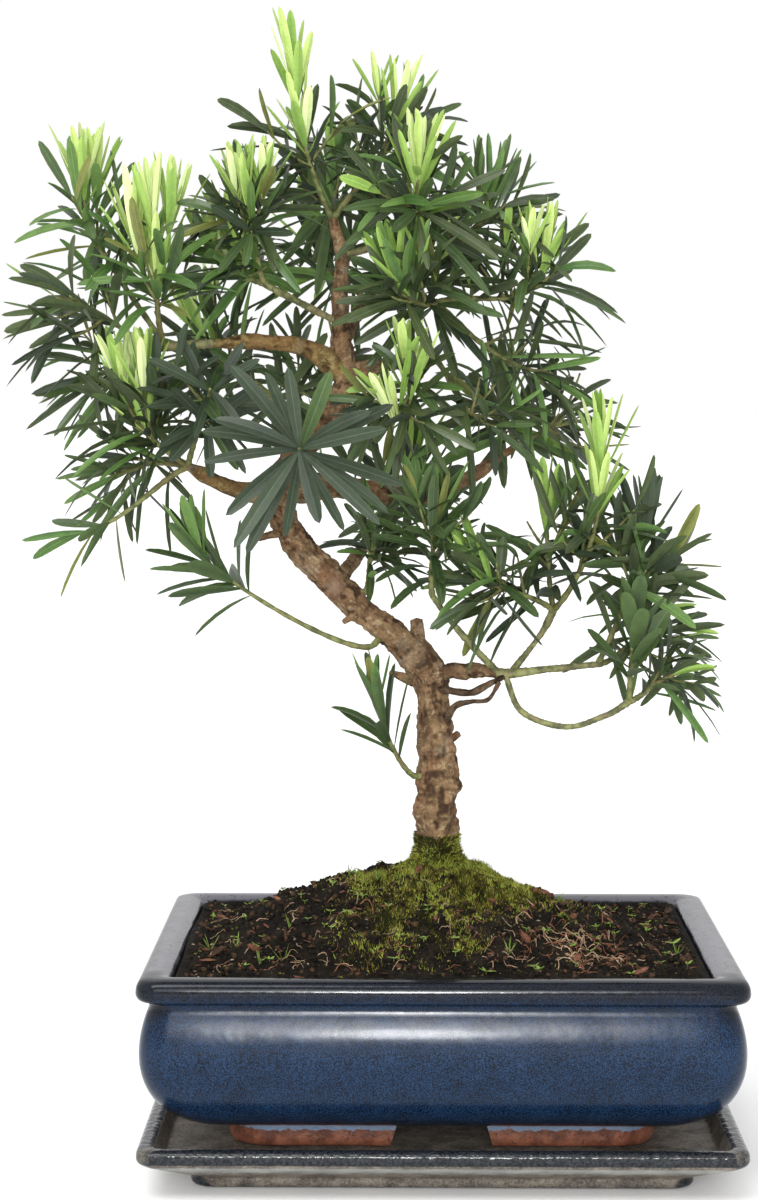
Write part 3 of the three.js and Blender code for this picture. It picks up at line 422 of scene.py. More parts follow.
def bark(name, tint):
    """Bark: brown with reddish patches and dark stains, tan and grey flakes on what stands out, near-black
    cracks and a little dust. A tint scales its colours. The attribute "raised" goes from 0 in the cracks to 1
    on what stands out. The near-black in the cracks is partly the bark's own dark and partly painted shade,
    and the flakes, kept to what stands out, are partly a painted highlight."""
    look = Look(name, Roughness=0.85, Specular_IOR_Level=0.2)
    here = look.place((1, 1, 1.25))

    def scaled(*colour):
        return tuple(c * t for c, t in zip(colour, tint))

    patch = look.noise(here, 130, 5.0, 0.65, 0.6).between(0.36, 0.66)
    warm = look.mix(patch, scaled(0.095, 0.055, 0.027), scaled(0.25, 0.158, 0.08))
    flakes = look.noise(here, 330, 5.0, 0.7, 0.8).between(0.48, 0.62)
    pale = look.mix(look.noise(here, 900, 2.0), scaled(0.29, 0.205, 0.11), scaled(0.52, 0.42, 0.27))
    raised = look.attribute("raised")
    # pale flakes only where the bark stands out: partly a painted highlight
    body = look.mix(flakes * raised.between(0.3, 0.75) * 0.64, warm, pale)
    ruddy = look.noise(look.place((1, 1, 0.8)), 62, 3.0, 0.6, 0.5).between(0.48, 0.64)
    body = look.mix(ruddy * 0.42, body, scaled(0.21, 0.098, 0.05))
    stain = look.noise(here, 48, 4.0, 0.6, 0.4).between(0.5, 0.66)
    body = look.mix(stain * 0.62, body, scaled(0.1, 0.05, 0.028))
    # near-black where the bark is not raised: partly the bark's own dark, partly painted shade in the cracks
    # and the knots' pits
    body = look.mix((1 - raised.between(0.08, 0.52)) * 0.9, body, scaled(0.035, 0.018, 0.01))
    dusty = look.noise(look.place(), 70, 4.0).between(0.54, 0.7)
    look.set(Base_Color=look.mix(dusty * 0.25, body, (0.36, 0.31, 0.23)))
    look.bump(look.noise(here, 1100, 4.0, 0.7), 0.8, 0.0008)
    return look.material


def green_bark(name, dark, light, brown):
    """Young bark: olive green in two shades, with brown patches."""
    look = Look(name, Roughness=0.6, Specular_IOR_Level=0.25)
    here = look.place()
    tint = look.mix(look.noise(here, 260, 3.0).between(0.35, 0.65), dark, light)
    look.set(Base_Color=look.mix(look.noise(here, 70, 4.0).between(0.5, 0.68) * 0.7, tint, brown))
    look.bump(look.noise(here, 900, 3.0), 0.5, 0.0004)
    return look.material


def leaf_looks(tone, low, high, shine):
    """A leaf's three finishes: the blade, its paler middle rib and its underside. Each goes from its low to
    its high colour with an attribute which differs from leaf to leaf, grows towards the tip, and is raised at
    the leaf's edges as a painted highlight."""
    looks = []
    for part, lighter, rough in (("blade", 0.0, shine), ("rib", 0.85, shine + 0.1), ("under", 0.4, 0.6)):
        look = Look(f"leaf_{tone}_{part}", Specular_IOR_Level=0.28 if part == "blade" else 0.16)
        here = look.place()
        # The attribute: the leaf's own tone, with a painted highlight along its edges.
        shade = look.attribute("ripeness_and_sheen") * 0.68 + look.noise(here, 240, 3.0, 0.6).between(0.3, 0.75) * 0.2
        shade = shade + look.noise(here, 1500, 3.0, 0.7).between(0.42, 0.65) * 0.16
        colours = [[c + lighter * (0.5 * c + 0.03) for c in colour] for colour in (low, high)]
        look.set(Base_Color=look.mix(shade, *colours))
        look.set(Roughness=rough + look.noise(here, 120, 2.0) * 0.14)
        look.bump(look.noise(here, 800, 2.0), 0.15, 0.0003)
        looks.append(look.material)
    return looks


GLAZE = glaze()
TRAY_GLAZE = tray_glaze()
CLAY = clay()
SOIL = earth("soil", (0.003, 0.0025, 0.002), (0.027, 0.02, 0.013))
CRUMBS = [
    earth("crumb_dark", (0.005, 0.004, 0.003), (0.038, 0.027, 0.018)),
    earth("crumb_brown", (0.035, 0.019, 0.011), (0.12, 0.068, 0.04)),
    earth("chip_red", (0.1, 0.04, 0.024), (0.25, 0.12, 0.075)),
    earth("crumb_pale", (0.2, 0.14, 0.09), (0.5, 0.42, 0.32)),
    earth("crumb_green", (0.05, 0.06, 0.012), (0.17, 0.22, 0.04)),
]
ROOTLETS = [
    earth("rootlet_red", (0.16, 0.06, 0.035), (0.4, 0.2, 0.11)),
    earth("straw", (0.3, 0.2, 0.12), (0.6, 0.47, 0.32)),
]
MOSS = [
    earth("moss_deep", (0.013, 0.015, 0.004), (0.075, 0.078, 0.016)),
    earth("moss_olive", (0.13, 0.096, 0.018), (0.29, 0.225, 0.045)),
    earth("moss_bright", (0.24, 0.3, 0.04), (0.54, 0.58, 0.12)),
]
SEEDLING = earth("seedling", (0.12, 0.18, 0.035), (0.36, 0.48, 0.13))
BARK = bark("bark", (1, 1, 1))
TAN_BARK = bark("tan_bark", (0.95, 1.0, 0.72))
DEAD_BARK = bark("dead_bark", (0.46, 0.47, 0.52))
GREEN_BARK = green_bark("green_bark", (0.075, 0.08, 0.034), (0.225, 0.23, 0.092), (0.18, 0.14, 0.075))
TWIG_BARK = green_bark("twig_bark", (0.08, 0.09, 0.03), (0.2, 0.21, 0.075), (0.15, 0.12, 0.05))
# The tones of the leaves: the low and the high colour of each, and its roughness
TONES = {
    "dark": ((0.009, 0.016, 0.006), (0.064, 0.091, 0.031), 0.3),
    "deep": ((0.013, 0.028, 0.009), (0.07, 0.117, 0.034), 0.3),
    "blue": ((0.011, 0.019, 0.009), (0.045, 0.066, 0.036), 0.36),
    "olive": ((0.04, 0.05, 0.01), (0.2, 0.22, 0.05), 0.36),
    "green": ((0.025, 0.07, 0.016), (0.12, 0.21, 0.05), 0.33),
    "fresh": ((0.09, 0.19, 0.03), (0.28, 0.42, 0.09), 0.38),
    "young": ((0.2, 0.32, 0.055), (0.5, 0.61, 0.21), 0.42),
    "pale": ((0.36, 0.47, 0.14), (0.62, 0.71, 0.36), 0.45),
}
TONE_NAMES = list(TONES)
LEAF_FINISHES = [material for tone, colours in TONES.items() for material in leaf_looks(tone, *colours)]
# What a leaf's tone may turn into, with the share of leaves that do
STRAYS = {
    "dark": (("deep", 0.24), ("olive", 0.03), ("blue", 0.12), ("green", 0.1), ("fresh", 0.02)),
    "green": (("deep", 0.25), ("olive", 0.06)),
    "fresh": (("green", 0.3),),
    "young": (("pale", 0.4), ("fresh", 0.12)),
    "blue": (("deep", 0.08),)}

# Numbers and noise


def draw(seed, index):
    """A number from 0 to 1 that depends only on the seed and the index. In the growth rule, each
    property of a shoot or a leaf has a range of indices of its own."""
    whole = 0xFFFFFFFF
    mixed = ((seed ^ 0x9E3779B9) * 0x85EBCA6B & whole) ^ ((index + 1) * 0xC2B2AE35 & whole)
    mixed = (mixed ^ (mixed >> 15)) * 0x2C1B3C6D & whole
    mixed = (mixed ^ (mixed >> 12)) * 0x297A2D39 & whole
    return (mixed ^ (mixed >> 15)) / 2**32


def lattice(cells, seed):
    """A number from 0 to 1 for every whole-numbered cell, mixed from its three indices."""
    mixed = (cells[..., 0] * 374761393 + cells[..., 1] * 668265263 + cells[..., 2] * 1440662683
             + seed * 974711) & 0xFFFFFFFF
    mixed = ((mixed ^ (mixed >> 13)) * 1274126177) & 0xFFFFFFFF
    return (mixed ^ (mixed >> 16)) / 2**32


def noise(points, seed=0):
    """Smooth noise from 0 to 1: the eight corners of a point's cell, blended by 3t²-2t³."""
    base = np.floor(points).astype(np.int64)
    part = points - base
    part = part * part * (3 - 2 * part)
    total = 0
    for corner in np.ndindex(2, 2, 2):
        weight = np.prod(np.where(corner, part, 1 - part), axis=-1)
        total = total + weight * lattice(base + corner, seed)
    return total


def fractal(points, octaves, seed=0):
    """Noise summed over octaves, each twice as fine and half as strong, centred on zero."""
    return sum((noise(points * 2**k, seed + k) - 0.5) / 2**k for k in range(octaves))


def unit(vectors):
    """Vectors scaled to a length of one."""
    vectors = np.asarray(vectors, float)
    return vectors / np.linalg.norm(vectors, axis=-1, keepdims=True)


def smooth_step(values, low, high):
    """0 below low and 1 above high, by 3t²-2t³ between them."""
    t = np.clip((values - low) / (high - low), 0, 1)
    return t * t * (3 - 2 * t)


def circle(count):
    """Angles round a circle, evenly apart."""
    return np.linspace(0, 2 * math.pi, count, endpoint=False)


def run_along(line):
    """How far each point lies along a line from its first one."""
    return np.concatenate([[0], np.cumsum(np.linalg.norm(np.diff(line, axis=0), axis=1))])


# Meshes


def placed(name, data, place=(0, 0, 0), way=None):
    """A new object in the scene at a place, with its own -z axis along a way if there is one."""
    made = bpy.data.objects.new(name, data)
    bpy.context.scene.collection.objects.link(made)
    made.location = place
    if way is not None:
        made.rotation_mode = "QUATERNION"
        made.rotation_quaternion = way.to_track_quat("-Z", "Y")
    return made


class Heap:
    """Surfaces gathered for one mesh: points, four-sided and three-sided faces, and their materials."""

    def __init__(self):
        self.points, self.quads, self.tris = [], [], []
        self.quad_kinds, self.tri_kinds, self.raised = [], [], []
        self.count = 0

    def add(self, points, quads, tris, quad_kinds=0, tri_kinds=0, raised=0.0):
        """One more surface: kinds are places in the list of materials, raised is a point's attribute."""
        quads, tris = np.asarray(quads).reshape(-1, 4), np.asarray(tris).reshape(-1, 3)
        points = np.asarray(points).reshape(-1, 3)
        self.points.append(points)
        self.quads.append(quads + self.count)
        self.tris.append(tris + self.count)
        self.quad_kinds.append(np.broadcast_to(quad_kinds, len(quads)))
        self.tri_kinds.append(np.broadcast_to(tri_kinds, len(tris)))
        self.raised.append(np.broadcast_to(raised, len(points)))
        self.count += len(points)

    def add_rings(self, rings, poles, kind=0, raised=0.0):
        """A closed tube of rings, with a pole before the first and one after the last."""
        quads, tris = tube_faces(*rings.shape[:2])
        self.add(np.concatenate([rings.reshape(-1, 3), poles]), quads, tris, kind, kind, raised)

    def add_copies(self, shapes, faces, kinds):
        """Many bodies of one set of three-sided faces, each with its own points and its kind."""
        offsets = np.arange(len(shapes))[:, None, None] * shapes.shape[1]
        self.add(shapes, np.zeros((0, 4), int), faces + offsets, 0, np.repeat(kinds, len(faces)))

    def piece(self, name, materials, slot, nodes, attribute=None, sharp=None):
        """The mesh as an object that rides on the root and stands for the named nodes."""
        quads, tris = np.concatenate(self.quads), np.concatenate(self.tris)
        points = np.concatenate(self.points) * MM
        corners = np.concatenate([quads.ravel(), tris.ravel()]).astype(np.int32)
        starts = np.concatenate([np.arange(len(quads)) * 4, len(quads) * 4 + np.arange(len(tris)) * 3])
        kinds = np.concatenate(self.quad_kinds + self.tri_kinds).astype(np.int32)
        mesh = bpy.data.meshes.new(name)
        mesh.vertices.add(len(points))
        mesh.vertices.foreach_set("co", points.astype(np.float32).ravel())
        mesh.loops.add(len(corners))
        mesh.loops.foreach_set("vertex_index", corners)
        mesh.polygons.add(len(starts))
        mesh.polygons.foreach_set("loop_start", starts.astype(np.int32))
        mesh.polygons.foreach_set("material_index", kinds)
        mesh.polygons.foreach_set("use_smooth", np.ones(len(starts), bool))
        if attribute:
            values = np.concatenate(self.raised).astype(np.float32)
            mesh.attributes.new(attribute, "FLOAT", "POINT").data.foreach_set("value", values)
        mesh.update(calc_edges=True)
        mesh.validate()
        if sharp:
            mesh.set_sharp_from_angle(angle=math.radians(sharp))
        for material in materials:
            mesh.materials.append(material)
        made = placed(name, mesh)
        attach(made, "root")
        if nodes:
            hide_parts(*nodes)


def tube_faces(rings, around):
    """Faces of a tube of rings, closed by a pole before the first and after the last ring."""
    ring, k = np.meshgrid(np.arange(rings - 1), np.arange(around), indexing="ij")
    a, b = ring * around + k, ring * around + (k + 1) % around
    quads = np.stack([a, b, b + around, a + around], -1).reshape(-1, 4)
    k = np.arange(around)
    after = (k + 1) % around
    last = (rings - 1) * around
    foot = np.stack([np.full(around, rings * around), after, k], -1)
    head = np.stack([np.full(around, rings * around + 1), last + k, last + after], -1)
    return quads, np.concatenate([foot, head])


def frames_along(tangents):
    """Two directions square to each tangent, carried along without twist."""
    across = np.array([0.0, 1.0, 0.0])
    found = []
    for tangent in unit(tangents):
        if abs(across @ tangent) > 0.95:
            across = np.array([1.0, 0.0, 0.0])
        across = unit(across - (across @ tangent) * tangent)
        found.append(across)
    found = np.array(found)
    return found, np.cross(unit(tangents), found)


def add_tube(heap, middles, tangents, radii, around, kind=0, relief=None, cap=0.6):
    """A tube round a line: the middle plus the radius times the cosine and the sine of the angle
    along the two square directions. A relief adds to the radius, and may say how raised it is."""
    across, square = frames_along(tangents)
    angle = circle(around)
    radii = np.broadcast_to(np.asarray(radii)[:, None], (len(middles), around))
    raised = 0.5
    if relief is not None:
        radii, raised = relief(radii, angle, middles)
        raised = np.concatenate([raised.ravel(), [0.5, 0.5]])
    spokes = np.cos(angle)[:, None] * across[:, None] + np.sin(angle)[:, None] * square[:, None]
    rings = middles[:, None] + radii[..., None] * spokes
    way = unit(tangents)
    poles = [middles[0] - cap * radii[0].mean() * way[0], middles[-1] + cap * radii[-1].mean() * way[-1]]
    heap.add_rings(rings, poles, kind, raised)


def limb_line(path, count):
    """A limb's middle line: a uniform Catmull-Rom spline through its points, its tangents, and its
    radius, straight between the points."""
    path = np.array(path, float)
    first, last = 2 * path[0, :3] - path[1, :3], 2 * path[-1, :3] - path[-2, :3]
    points = np.vstack([first, path[:, :3], last])
    place = np.linspace(0, len(path) - 1, count)
    before = np.minimum(place.astype(int), len(path) - 2)
    t = (place - before)[:, None]
    p0, p1, p2, p3 = (points[before + k] for k in range(4))
    square, cube = 2 * p0 - 5 * p1 + 4 * p2 - p3, 3 * p1 - p0 - 3 * p2 + p3
    middles = 0.5 * (2 * p1 + (p2 - p0) * t + square * t**2 + cube * t**3)
    tangents = 0.5 * ((p2 - p0) + 2 * square * t + 3 * cube * t**2)
    radii = np.interp(place, np.arange(len(path)), path[:, 3]) / 2
    return middles, tangents, radii


def bezier(points, stations):
    """A Bezier curve's points and tangents, by de Casteljau's rule."""
    t = np.asarray(stations, float)[:, None]
    layers = [np.asarray(p, float)[None] * np.ones((len(t), 1)) for p in points]
    while len(layers) > 2:
        layers = [a + (b - a) * t for a, b in zip(layers, layers[1:])]
    return layers[0] + (layers[1] - layers[0]) * t, layers[1] - layers[0]


# Pottery


def softened(profile, radius=1.2, steps=4):
    """A profile with its corners rounded: each corner becomes a parabola whose ends lie on the
    lines to its neighbours, one radius away or under half the line."""
    corner, before, after = profile[1:-1], profile[:-2], profile[2:]
    ends = []
    for other in (before, after):
        way = other - corner
        length = np.linalg.norm(way[:, :2], axis=1, keepdims=True)
        ends.append(corner + way * np.minimum(radius / length, 0.45))
    t = np.linspace(0, 1, steps)[None, :, None]
    start, middle, end = ends[0][:, None], corner[:, None], ends[1][:, None]
    curve = start * (1 - t) ** 2 + 2 * middle * t * (1 - t) + end * t**2
    return np.vstack([profile[:1], curve.reshape(-1, profile.shape[1]), profile[-1:]])


def rounded_loops(inset, height, corner, arc=CORNER_STEPS, side=SIDE_STEPS):
    """Rings of a rectangle with quarter-circle corners and straight sides, anticlockwise from above."""
    inset, height, corner = (np.asarray(v, float)[:, None] for v in (inset, height, corner))
    turn = np.linspace(0, math.pi / 2, arc + 1)
    arcs = []
    for k, (sign_x, sign_y) in enumerate(QUARTERS):
        angle = turn + k * math.pi / 2
        x = sign_x * (HALF_LENGTH - inset - corner) + corner * np.cos(angle)
        y = sign_y * (HALF_DEPTH - inset - corner) + corner * np.sin(angle)
        arcs.append(np.stack([x, y], -1))
    share = (np.arange(1, side) / side)[None, :, None]
    parts = []
    for k in range(4):
        start, end = arcs[k][:, -1:], arcs[(k + 1) % 4][:, :1]
        parts += [arcs[k], start + (end - start) * share]
    loops = np.concatenate(parts, 1)
    heights = np.broadcast_to(height[..., None], (*loops.shape[:2], 1))
    return np.concatenate([loops, heights], -1)


def add_lofted(heap, profile, bottom, top):
    """A closed body from a profile of inset, height, corner and thinness of glaze. The glaze is thinner on
    the corners, by half a sine wave, and dark on the front of the rim's top. The same number also places
    painted light: shade on the belly's underside, and a grey painted reflection on the rim's top, which the
    front leaves out."""
    loops = rounded_loops(*profile.T[:3])
    edge = np.zeros(loops.shape[1])
    for k in range(4):
        start = k * (CORNER_STEPS + SIDE_STEPS)
        edge[start:start + CORNER_STEPS + 1] = np.sin(np.linspace(0, math.pi, CORNER_STEPS + 1))
    thin = profile[:, 3:] + 0.32 * edge
    # On the front of the rim's top the painted reflection is left out, and the glaze stays dark.
    front = smooth_step(-loops[..., 1], 0.76 * HALF_DEPTH, 0.92 * HALF_DEPTH)
    thin = np.where(thin > 1.1, thin + (0.8 - thin) * front, thin).ravel()
    heap.add_rings(loops, [[0, 0, bottom], [0, 0, top]], 0, np.append(thin, thin[[0, -1]]))


def make_tray():
    """The tray: a low plinth, a wall that slopes out to a thick lip, and a flat floor."""
    profile = np.array([
        [23, 0, 9, 0.74], [21.5, 0, 9, 0.74], [20.5, 1.2, 9, 0.74], [20.5, 4.5, 9, 0.6],
        [3, 13.2, 7, 0.0], [0.8, 14.8, 7, 0.6], [0, 16.4, 7, 1.1], [0.2, 19.8, 7, 1.1], [2.0, 21, 6, 1.1],
        [5.6, 21, 5, 1.0], [7.2, 20, 5, 0.7], [10, TRAY_FLOOR, 5, 0.5], [14, TRAY_FLOOR, 5, 0.45]])
    heap = Heap()
    add_lofted(heap, softened(profile, 1.0), 0, TRAY_FLOOR)
    heap.piece("tray_glazed", [TRAY_GLAZE], "glaze", ["tray"], "thin", 50)


def make_pot():
    """The pot: a belly whose outline is a quarter ellipse, a neck, a rolled rim and its inside. Its glaze
    numbers darken the belly towards its underside as painted shade, and give the rim's top a grey painted
    reflection of the sky.
    """
    turn = np.linspace(0, math.pi / 2, BELLY_STEPS)
    belly = np.stack([
        BELLY_BELOW + (BELLY_WIDE - BELLY_BELOW) * np.sin(turn),
        BELLY_HEIGHT - (BELLY_HEIGHT - POT_UNDERSIDE) * np.cos(turn),
        np.full(BELLY_STEPS, POT_CORNER),
        # painted shade: the glaze turns near-black towards the belly's underside
        np.linspace(0.9, 0.0, BELLY_STEPS) ** 1.6], -1)
    rise = np.linspace(0.1, 1, 10)
    shoulder = np.stack([
        BELLY_WIDE + (NECK_INSET - BELLY_WIDE) * rise**2,
        BELLY_HEIGHT + (NECK_HEIGHT - BELLY_HEIGHT) * rise,
        POT_CORNER - 2 * rise,
        0.46 * rise**2], -1)
    upper = np.array([
        shoulder[-1], [5, 80.6, 10, 0.46], [1.2, 81.6, 9, 0.45], [0, 84, 9, 0.6], [0.3, 87.6, 9, 0.85],
        # above 1.1 on the rim's top: a grey painted reflection of the sky
        [1.8, 90.2, 8.5, 1.1], [5, 91, 7.5, 1.4], [9.5, 91, 6, 1.6], [13, 90, 5, 1.5], [15, 87.4, 5, 0.9],
        [17.5, 60, 6, 0.3], [24, 42, 8, 0.3], [36, POT_FLOOR, 8, 0.3]])
    heap = Heap()
    profile = np.vstack([belly, shoulder[:-1], softened(upper, 1.3)])
    add_lofted(heap, profile, POT_UNDERSIDE, POT_FLOOR)
    heap.piece("pot_glazed", [GLAZE], "glaze", ["pot"], "thin", 60)


def make_feet():
    """Four corner feet: a section with soft edges carried round an L, whose two ends slant in."""
    half = np.array(FOOT_HALF) - FOOT_WIDTH / 2
    corner = FOOT_CORNER - FOOT_WIDTH / 4
    turn = np.linspace(0, math.pi / 2, 9)
    bend = half - corner + corner * np.stack([np.cos(turn), np.sin(turn)], -1)
    line = np.vstack([[half[0], FOOT_GAP_HALF[1]], bend, [FOOT_GAP_HALF[0], half[1]]])
    run = run_along(line)
    across = FOOT_WIDTH / 2
    section = softened(np.array([
        [-across, FOOT_TOP], [-across + 0.6, FOOT_BASE], [across - 1.2, FOOT_BASE],
        [across, FOOT_BASE + 3], [across, POT_UNDERSIDE - 4], [across, POT_UNDERSIDE - 2],
        [across, FOOT_TOP]]), 1.2)
    section = np.vstack([section, [0, FOOT_TOP]])
    slant = FOOT_SLANT * (FOOT_TOP - section[:, 1]) / (FOOT_TOP - FOOT_BASE)
    along = slant + (run[-1] - 2 * slant) * np.linspace(0, 1, FOOT_STATIONS)[:, None]
    place, ahead, behind = (
        np.stack([np.interp(along + step, run, line[:, k]) for k in range(2)], -1)
        for step in (0, 0.5, -0.5))
    way = unit(ahead - behind)
    outward = np.stack([way[..., 1], -way[..., 0]], -1)
    flat = place + section[:, :1] * outward
    height = np.broadcast_to(section[:, 1:], (*flat.shape[:2], 1))
    rings = np.concatenate([flat, height], -1)
    poles = np.stack([rings[0].mean(0), rings[-1].mean(0)])
    quads, tris = tube_faces(*rings.shape[:2])
    heap = Heap()
    for sign_x, sign_y in QUARTERS:
        points = np.concatenate([rings.reshape(-1, 3), poles]) * (sign_x, sign_y, 1)
        # glazed: where the pale drips lie, lightened as a painted highlight along the glaze's edge
        glazed = smooth_step(points[:, 2], POT_UNDERSIDE - 5.6, POT_UNDERSIDE - 3)
        order = sign_x * sign_y
        heap.add(points, quads[:, ::order], tris[:, ::order], raised=glazed)
    heap.piece("pot_feet", [CLAY], "glaze", [], "glazed", 50)


# Soil and moss


def level(x, y):
    """Points at height zero."""
    return np.stack([x, y, np.zeros_like(x)], -1)


def away_from(x, y, middle, half=(1, 1)):
    """How far points lie from a middle, in half sizes of an ellipse round it."""
    return np.hypot((x - middle[0]) / half[0], (y - middle[1]) / half[1])


def soil_height(x, y):
    """The mound: a cosine swell over an ellipse, with a flat seat under the trunk."""
    away = away_from(x, y, SOIL_MIDDLE, SOIL_HALF)
    swell = SOIL_EDGE + SOIL_RISE * (0.5 + 0.5 * np.cos(math.pi * np.minimum(away, 1))) ** 0.8
    blend = smooth_step(away_from(x, y, SEAT) / SEAT_RADIUS, 1, 2.2)
    return SEAT_HEIGHT + (swell - SEAT_HEIGHT) * blend


def soil_relief(x, y):
    """Lumps and hollows of the soil's surface, flat where it meets the pot."""
    points = level(x, y)
    edge = np.minimum(SOIL_WALL[0] - abs(x), SOIL_WALL[1] - abs(y))
    lumps = 4.0 * fractal(points / 14, 3, 5) + 2.4 * fractal(points / 3.5, 3, 11)
    return lumps * smooth_step(edge, -1, 6)


def soil_surface(x, y):
    """The height of the soil's surface, with its lumps."""
    return soil_height(x, y) + soil_relief(x, y)


def make_soil():
    """The soil: rings from the pot's wall in to the trunk, raised by the mound and its lumps."""
    wall = rounded_loops([SOIL_INSET + 6, SOIL_INSET], [60, 80], [6, 5], 8, 48)
    edge = wall[1, :, :2]
    outward = edge - SEAT
    angle = np.arctan2(outward[:, 1], outward[:, 0])
    ring = np.array(SEAT) + 6 * np.stack([np.cos(angle), np.sin(angle)], -1)
    flat = edge + (ring - edge) * np.linspace(0, 1, SOIL_RINGS)[:, None, None]
    height = soil_surface(flat[..., 0], flat[..., 1])[..., None]
    loops = np.concatenate([wall, np.concatenate([flat, height], -1)])
    heap = Heap()
    heap.add_rings(loops, [[0, 0, 60], [*SEAT, SEAT_HEIGHT]])
    heap.piece("soil_ground", [SOIL], "soil", ["soil"])


def spots_on_soil(random, count, margin=3.0):
    """Random places on the soil with the height of its surface."""
    x, y = (random.uniform(-1, 1, count) * (wall - margin) for wall in SOIL_WALL)
    return np.stack([x, y, soil_surface(x, y)], -1)


def lump():
    """A round lump: an octahedron with its edges halved, its points pushed out to a ball."""
    corners = np.array([[1, 0, 0], [0, 1, 0], [-1, 0, 0], [0, -1, 0], [0, 0, 1], [0, 0, -1]], float)
    faces = [(0, 1, 4), (1, 2, 4), (2, 3, 4), (3, 0, 4), (1, 0, 5), (2, 1, 5), (3, 2, 5), (0, 3, 5)]
    points, middle, split = list(corners), {}, []
    for face in faces:
        halves = []
        for a, b in zip(face, face[1:] + face[:1]):
            key = (min(a, b), max(a, b))
            if key not in middle:
                middle[key] = len(points)
                points.append(unit(corners[a] + corners[b]))
            halves.append(middle[key])
        split += [(face[0], halves[0], halves[2]), (face[1], halves[1], halves[0]),
                  (face[2], halves[2], halves[1]), tuple(halves)]
    return np.array(points), np.array(split)


def random_turns(random, count):
    """Random rotation matrices, from random quaternions."""
    w, x, y, z = unit(random.normal(size=(count, 4))).T
    return np.stack([
        np.stack([1 - 2 * (y * y + z * z), 2 * (x * y - z * w), 2 * (x * z + y * w)], -1),
        np.stack([2 * (x * y + z * w), 1 - 2 * (x * x + z * z), 2 * (y * z - x * w)], -1),
        np.stack([2 * (x * z - y * w), 2 * (y * z + x * w), 1 - 2 * (x * x + y * y)], -1)], 1)


def make_crumbs():
    """Crumbs and chips of bark on the soil: lumps with uneven points, stretched and turned. The
    stretched ones are pressed flat."""
    random = np.random.default_rng(21)
    ball, faces = lump()
    heap = Heap()
    for count, low, high, stretch, kinds in CRUMB_GROUPS:
        size = low + (high - low) * random.random((count, 1, 1)) ** 2
        uneven = 1 + random.uniform(-0.25, 0.25, (count, len(ball), 1))
        shapes = ball * uneven * np.array(stretch) * size
        shapes = np.einsum("nij,nkj->nki", random_turns(random, count), shapes)
        if stretch[0] > 1:
            shapes = shapes * (1, 1, 0.45)
        places = spots_on_soil(random, count)
        places[:, 2] += size[:, 0, 0] * 0.25
        heap.add_copies(shapes + places[:, None], faces, random.choice(kinds, count))
    heap.piece("soil_crumbs", CRUMBS, "soil", ["soil"])


def make_rootlets():
    """Dry rootlets and straws on the soil: thin tubes on bent lines, many in a nest on the right."""
    random = np.random.default_rng(33)
    heap = Heap()
    places = spots_on_soil(random, ROOTLETS_IN_ALL, 8)
    for axis in range(2):
        spread = NEST_SPREAD[axis] * random.normal(size=ROOTLETS_IN_NEST)
        places[:ROOTLETS_IN_NEST, axis] = NEST_MIDDLE[axis] + spread
    t = np.linspace(0, 1, 9)
    for k, place in enumerate(places):
        length = random.uniform(2.5, 9)
        heading = random.uniform(0, 2 * math.pi)
        turn = heading + random.uniform(-1.8, 1.8) * t
        x, y = place[0] + length * t * np.cos(turn), place[1] + length * t * np.sin(turn)
        x, y = (np.clip(v, 2 - wall, wall - 2) for v, wall in zip((x, y), SOIL_WALL))
        z = soil_surface(x, y) + 0.3 + random.uniform(0, 1.6) * np.sin(math.pi * t)
        middles = np.stack([x, y, z], -1)
        radius = random.uniform(0.12, 0.29)
        kind = int(random.random() < (0.45 if k < ROOTLETS_IN_NEST else 0.6))
        add_tube(heap, middles, np.gradient(middles, axis=0), radius * (1 - 0.6 * t), 5, kind)
    heap.piece("soil_rootlets", ROOTLETS, "soil", ["soil"])


def add_blade(heap, root, way, side, length, width, droop):
    """One small leaf: a closed four-sided section along a line that droops by its square."""
    sag = np.array([0, 0, droop])
    t = np.array([0.0, 0.3, 0.65, 0.92])[:, None]
    wide = np.array([0.35, 1.0, 0.85, 0.3])[:, None] * width / 2
    middle = root + length * (t * way - sag * t**2)
    thick = unit(np.cross(side, way)) * wide * 0.25
    rings = np.stack([middle + side * wide, middle + thick, middle - side * wide, middle - thick], 1)
    heap.add_rings(rings, [root, root + length * (way - sag)])


def make_seedlings():
    """Seedlings: two to five oval leaves low over the soil, and tufts of five to eight grass blades."""
    random = np.random.default_rng(58)
    heap = Heap()
    places = spots_on_soil(random, SEEDLINGS_IN_ALL, 6)
    for place, (x, y) in zip(places, SEEDLING_SPOTS):
        place[:] = x, y, soil_surface(np.array(x), np.array(y))
    for k, place in enumerate(places):
        grassy = k < 3 or random.random() < 0.16
        count = random.integers(5, 9) if grassy else random.integers(2, 6)
        large = 1.5 if k < len(SEEDLING_SPOTS) else 1.0
        for j in range(count):
            start, spread = (0, 2 * math.pi) if grassy else (2 * math.pi * j / count, 0.7)
            heading = start + random.uniform(0, spread)
            rise = random.uniform(1.1, 4) if grassy else random.uniform(0.25, 0.8)
            way = unit([math.cos(heading), math.sin(heading), rise])
            side = unit([-math.sin(heading), math.cos(heading), 0])
            length = large * (random.uniform(4, 8) if grassy else random.uniform(1.6, 3.4))
            width = 0.5 if grassy else 0.5 * length
            root = place + (0, 0, -0.3 if grassy else 1.2)
            add_blade(heap, root, way, side, length, width, 0.3 * random.random())
        if not grassy:
            line = place + np.linspace(-1, 1.5, 4)[:, None] * (0, 0, 1)
            add_tube(heap, line, np.gradient(line, axis=0), np.full(4, 0.16), 4)
    heap.piece("seedlings", [SEEDLING], "moss", ["moss"])


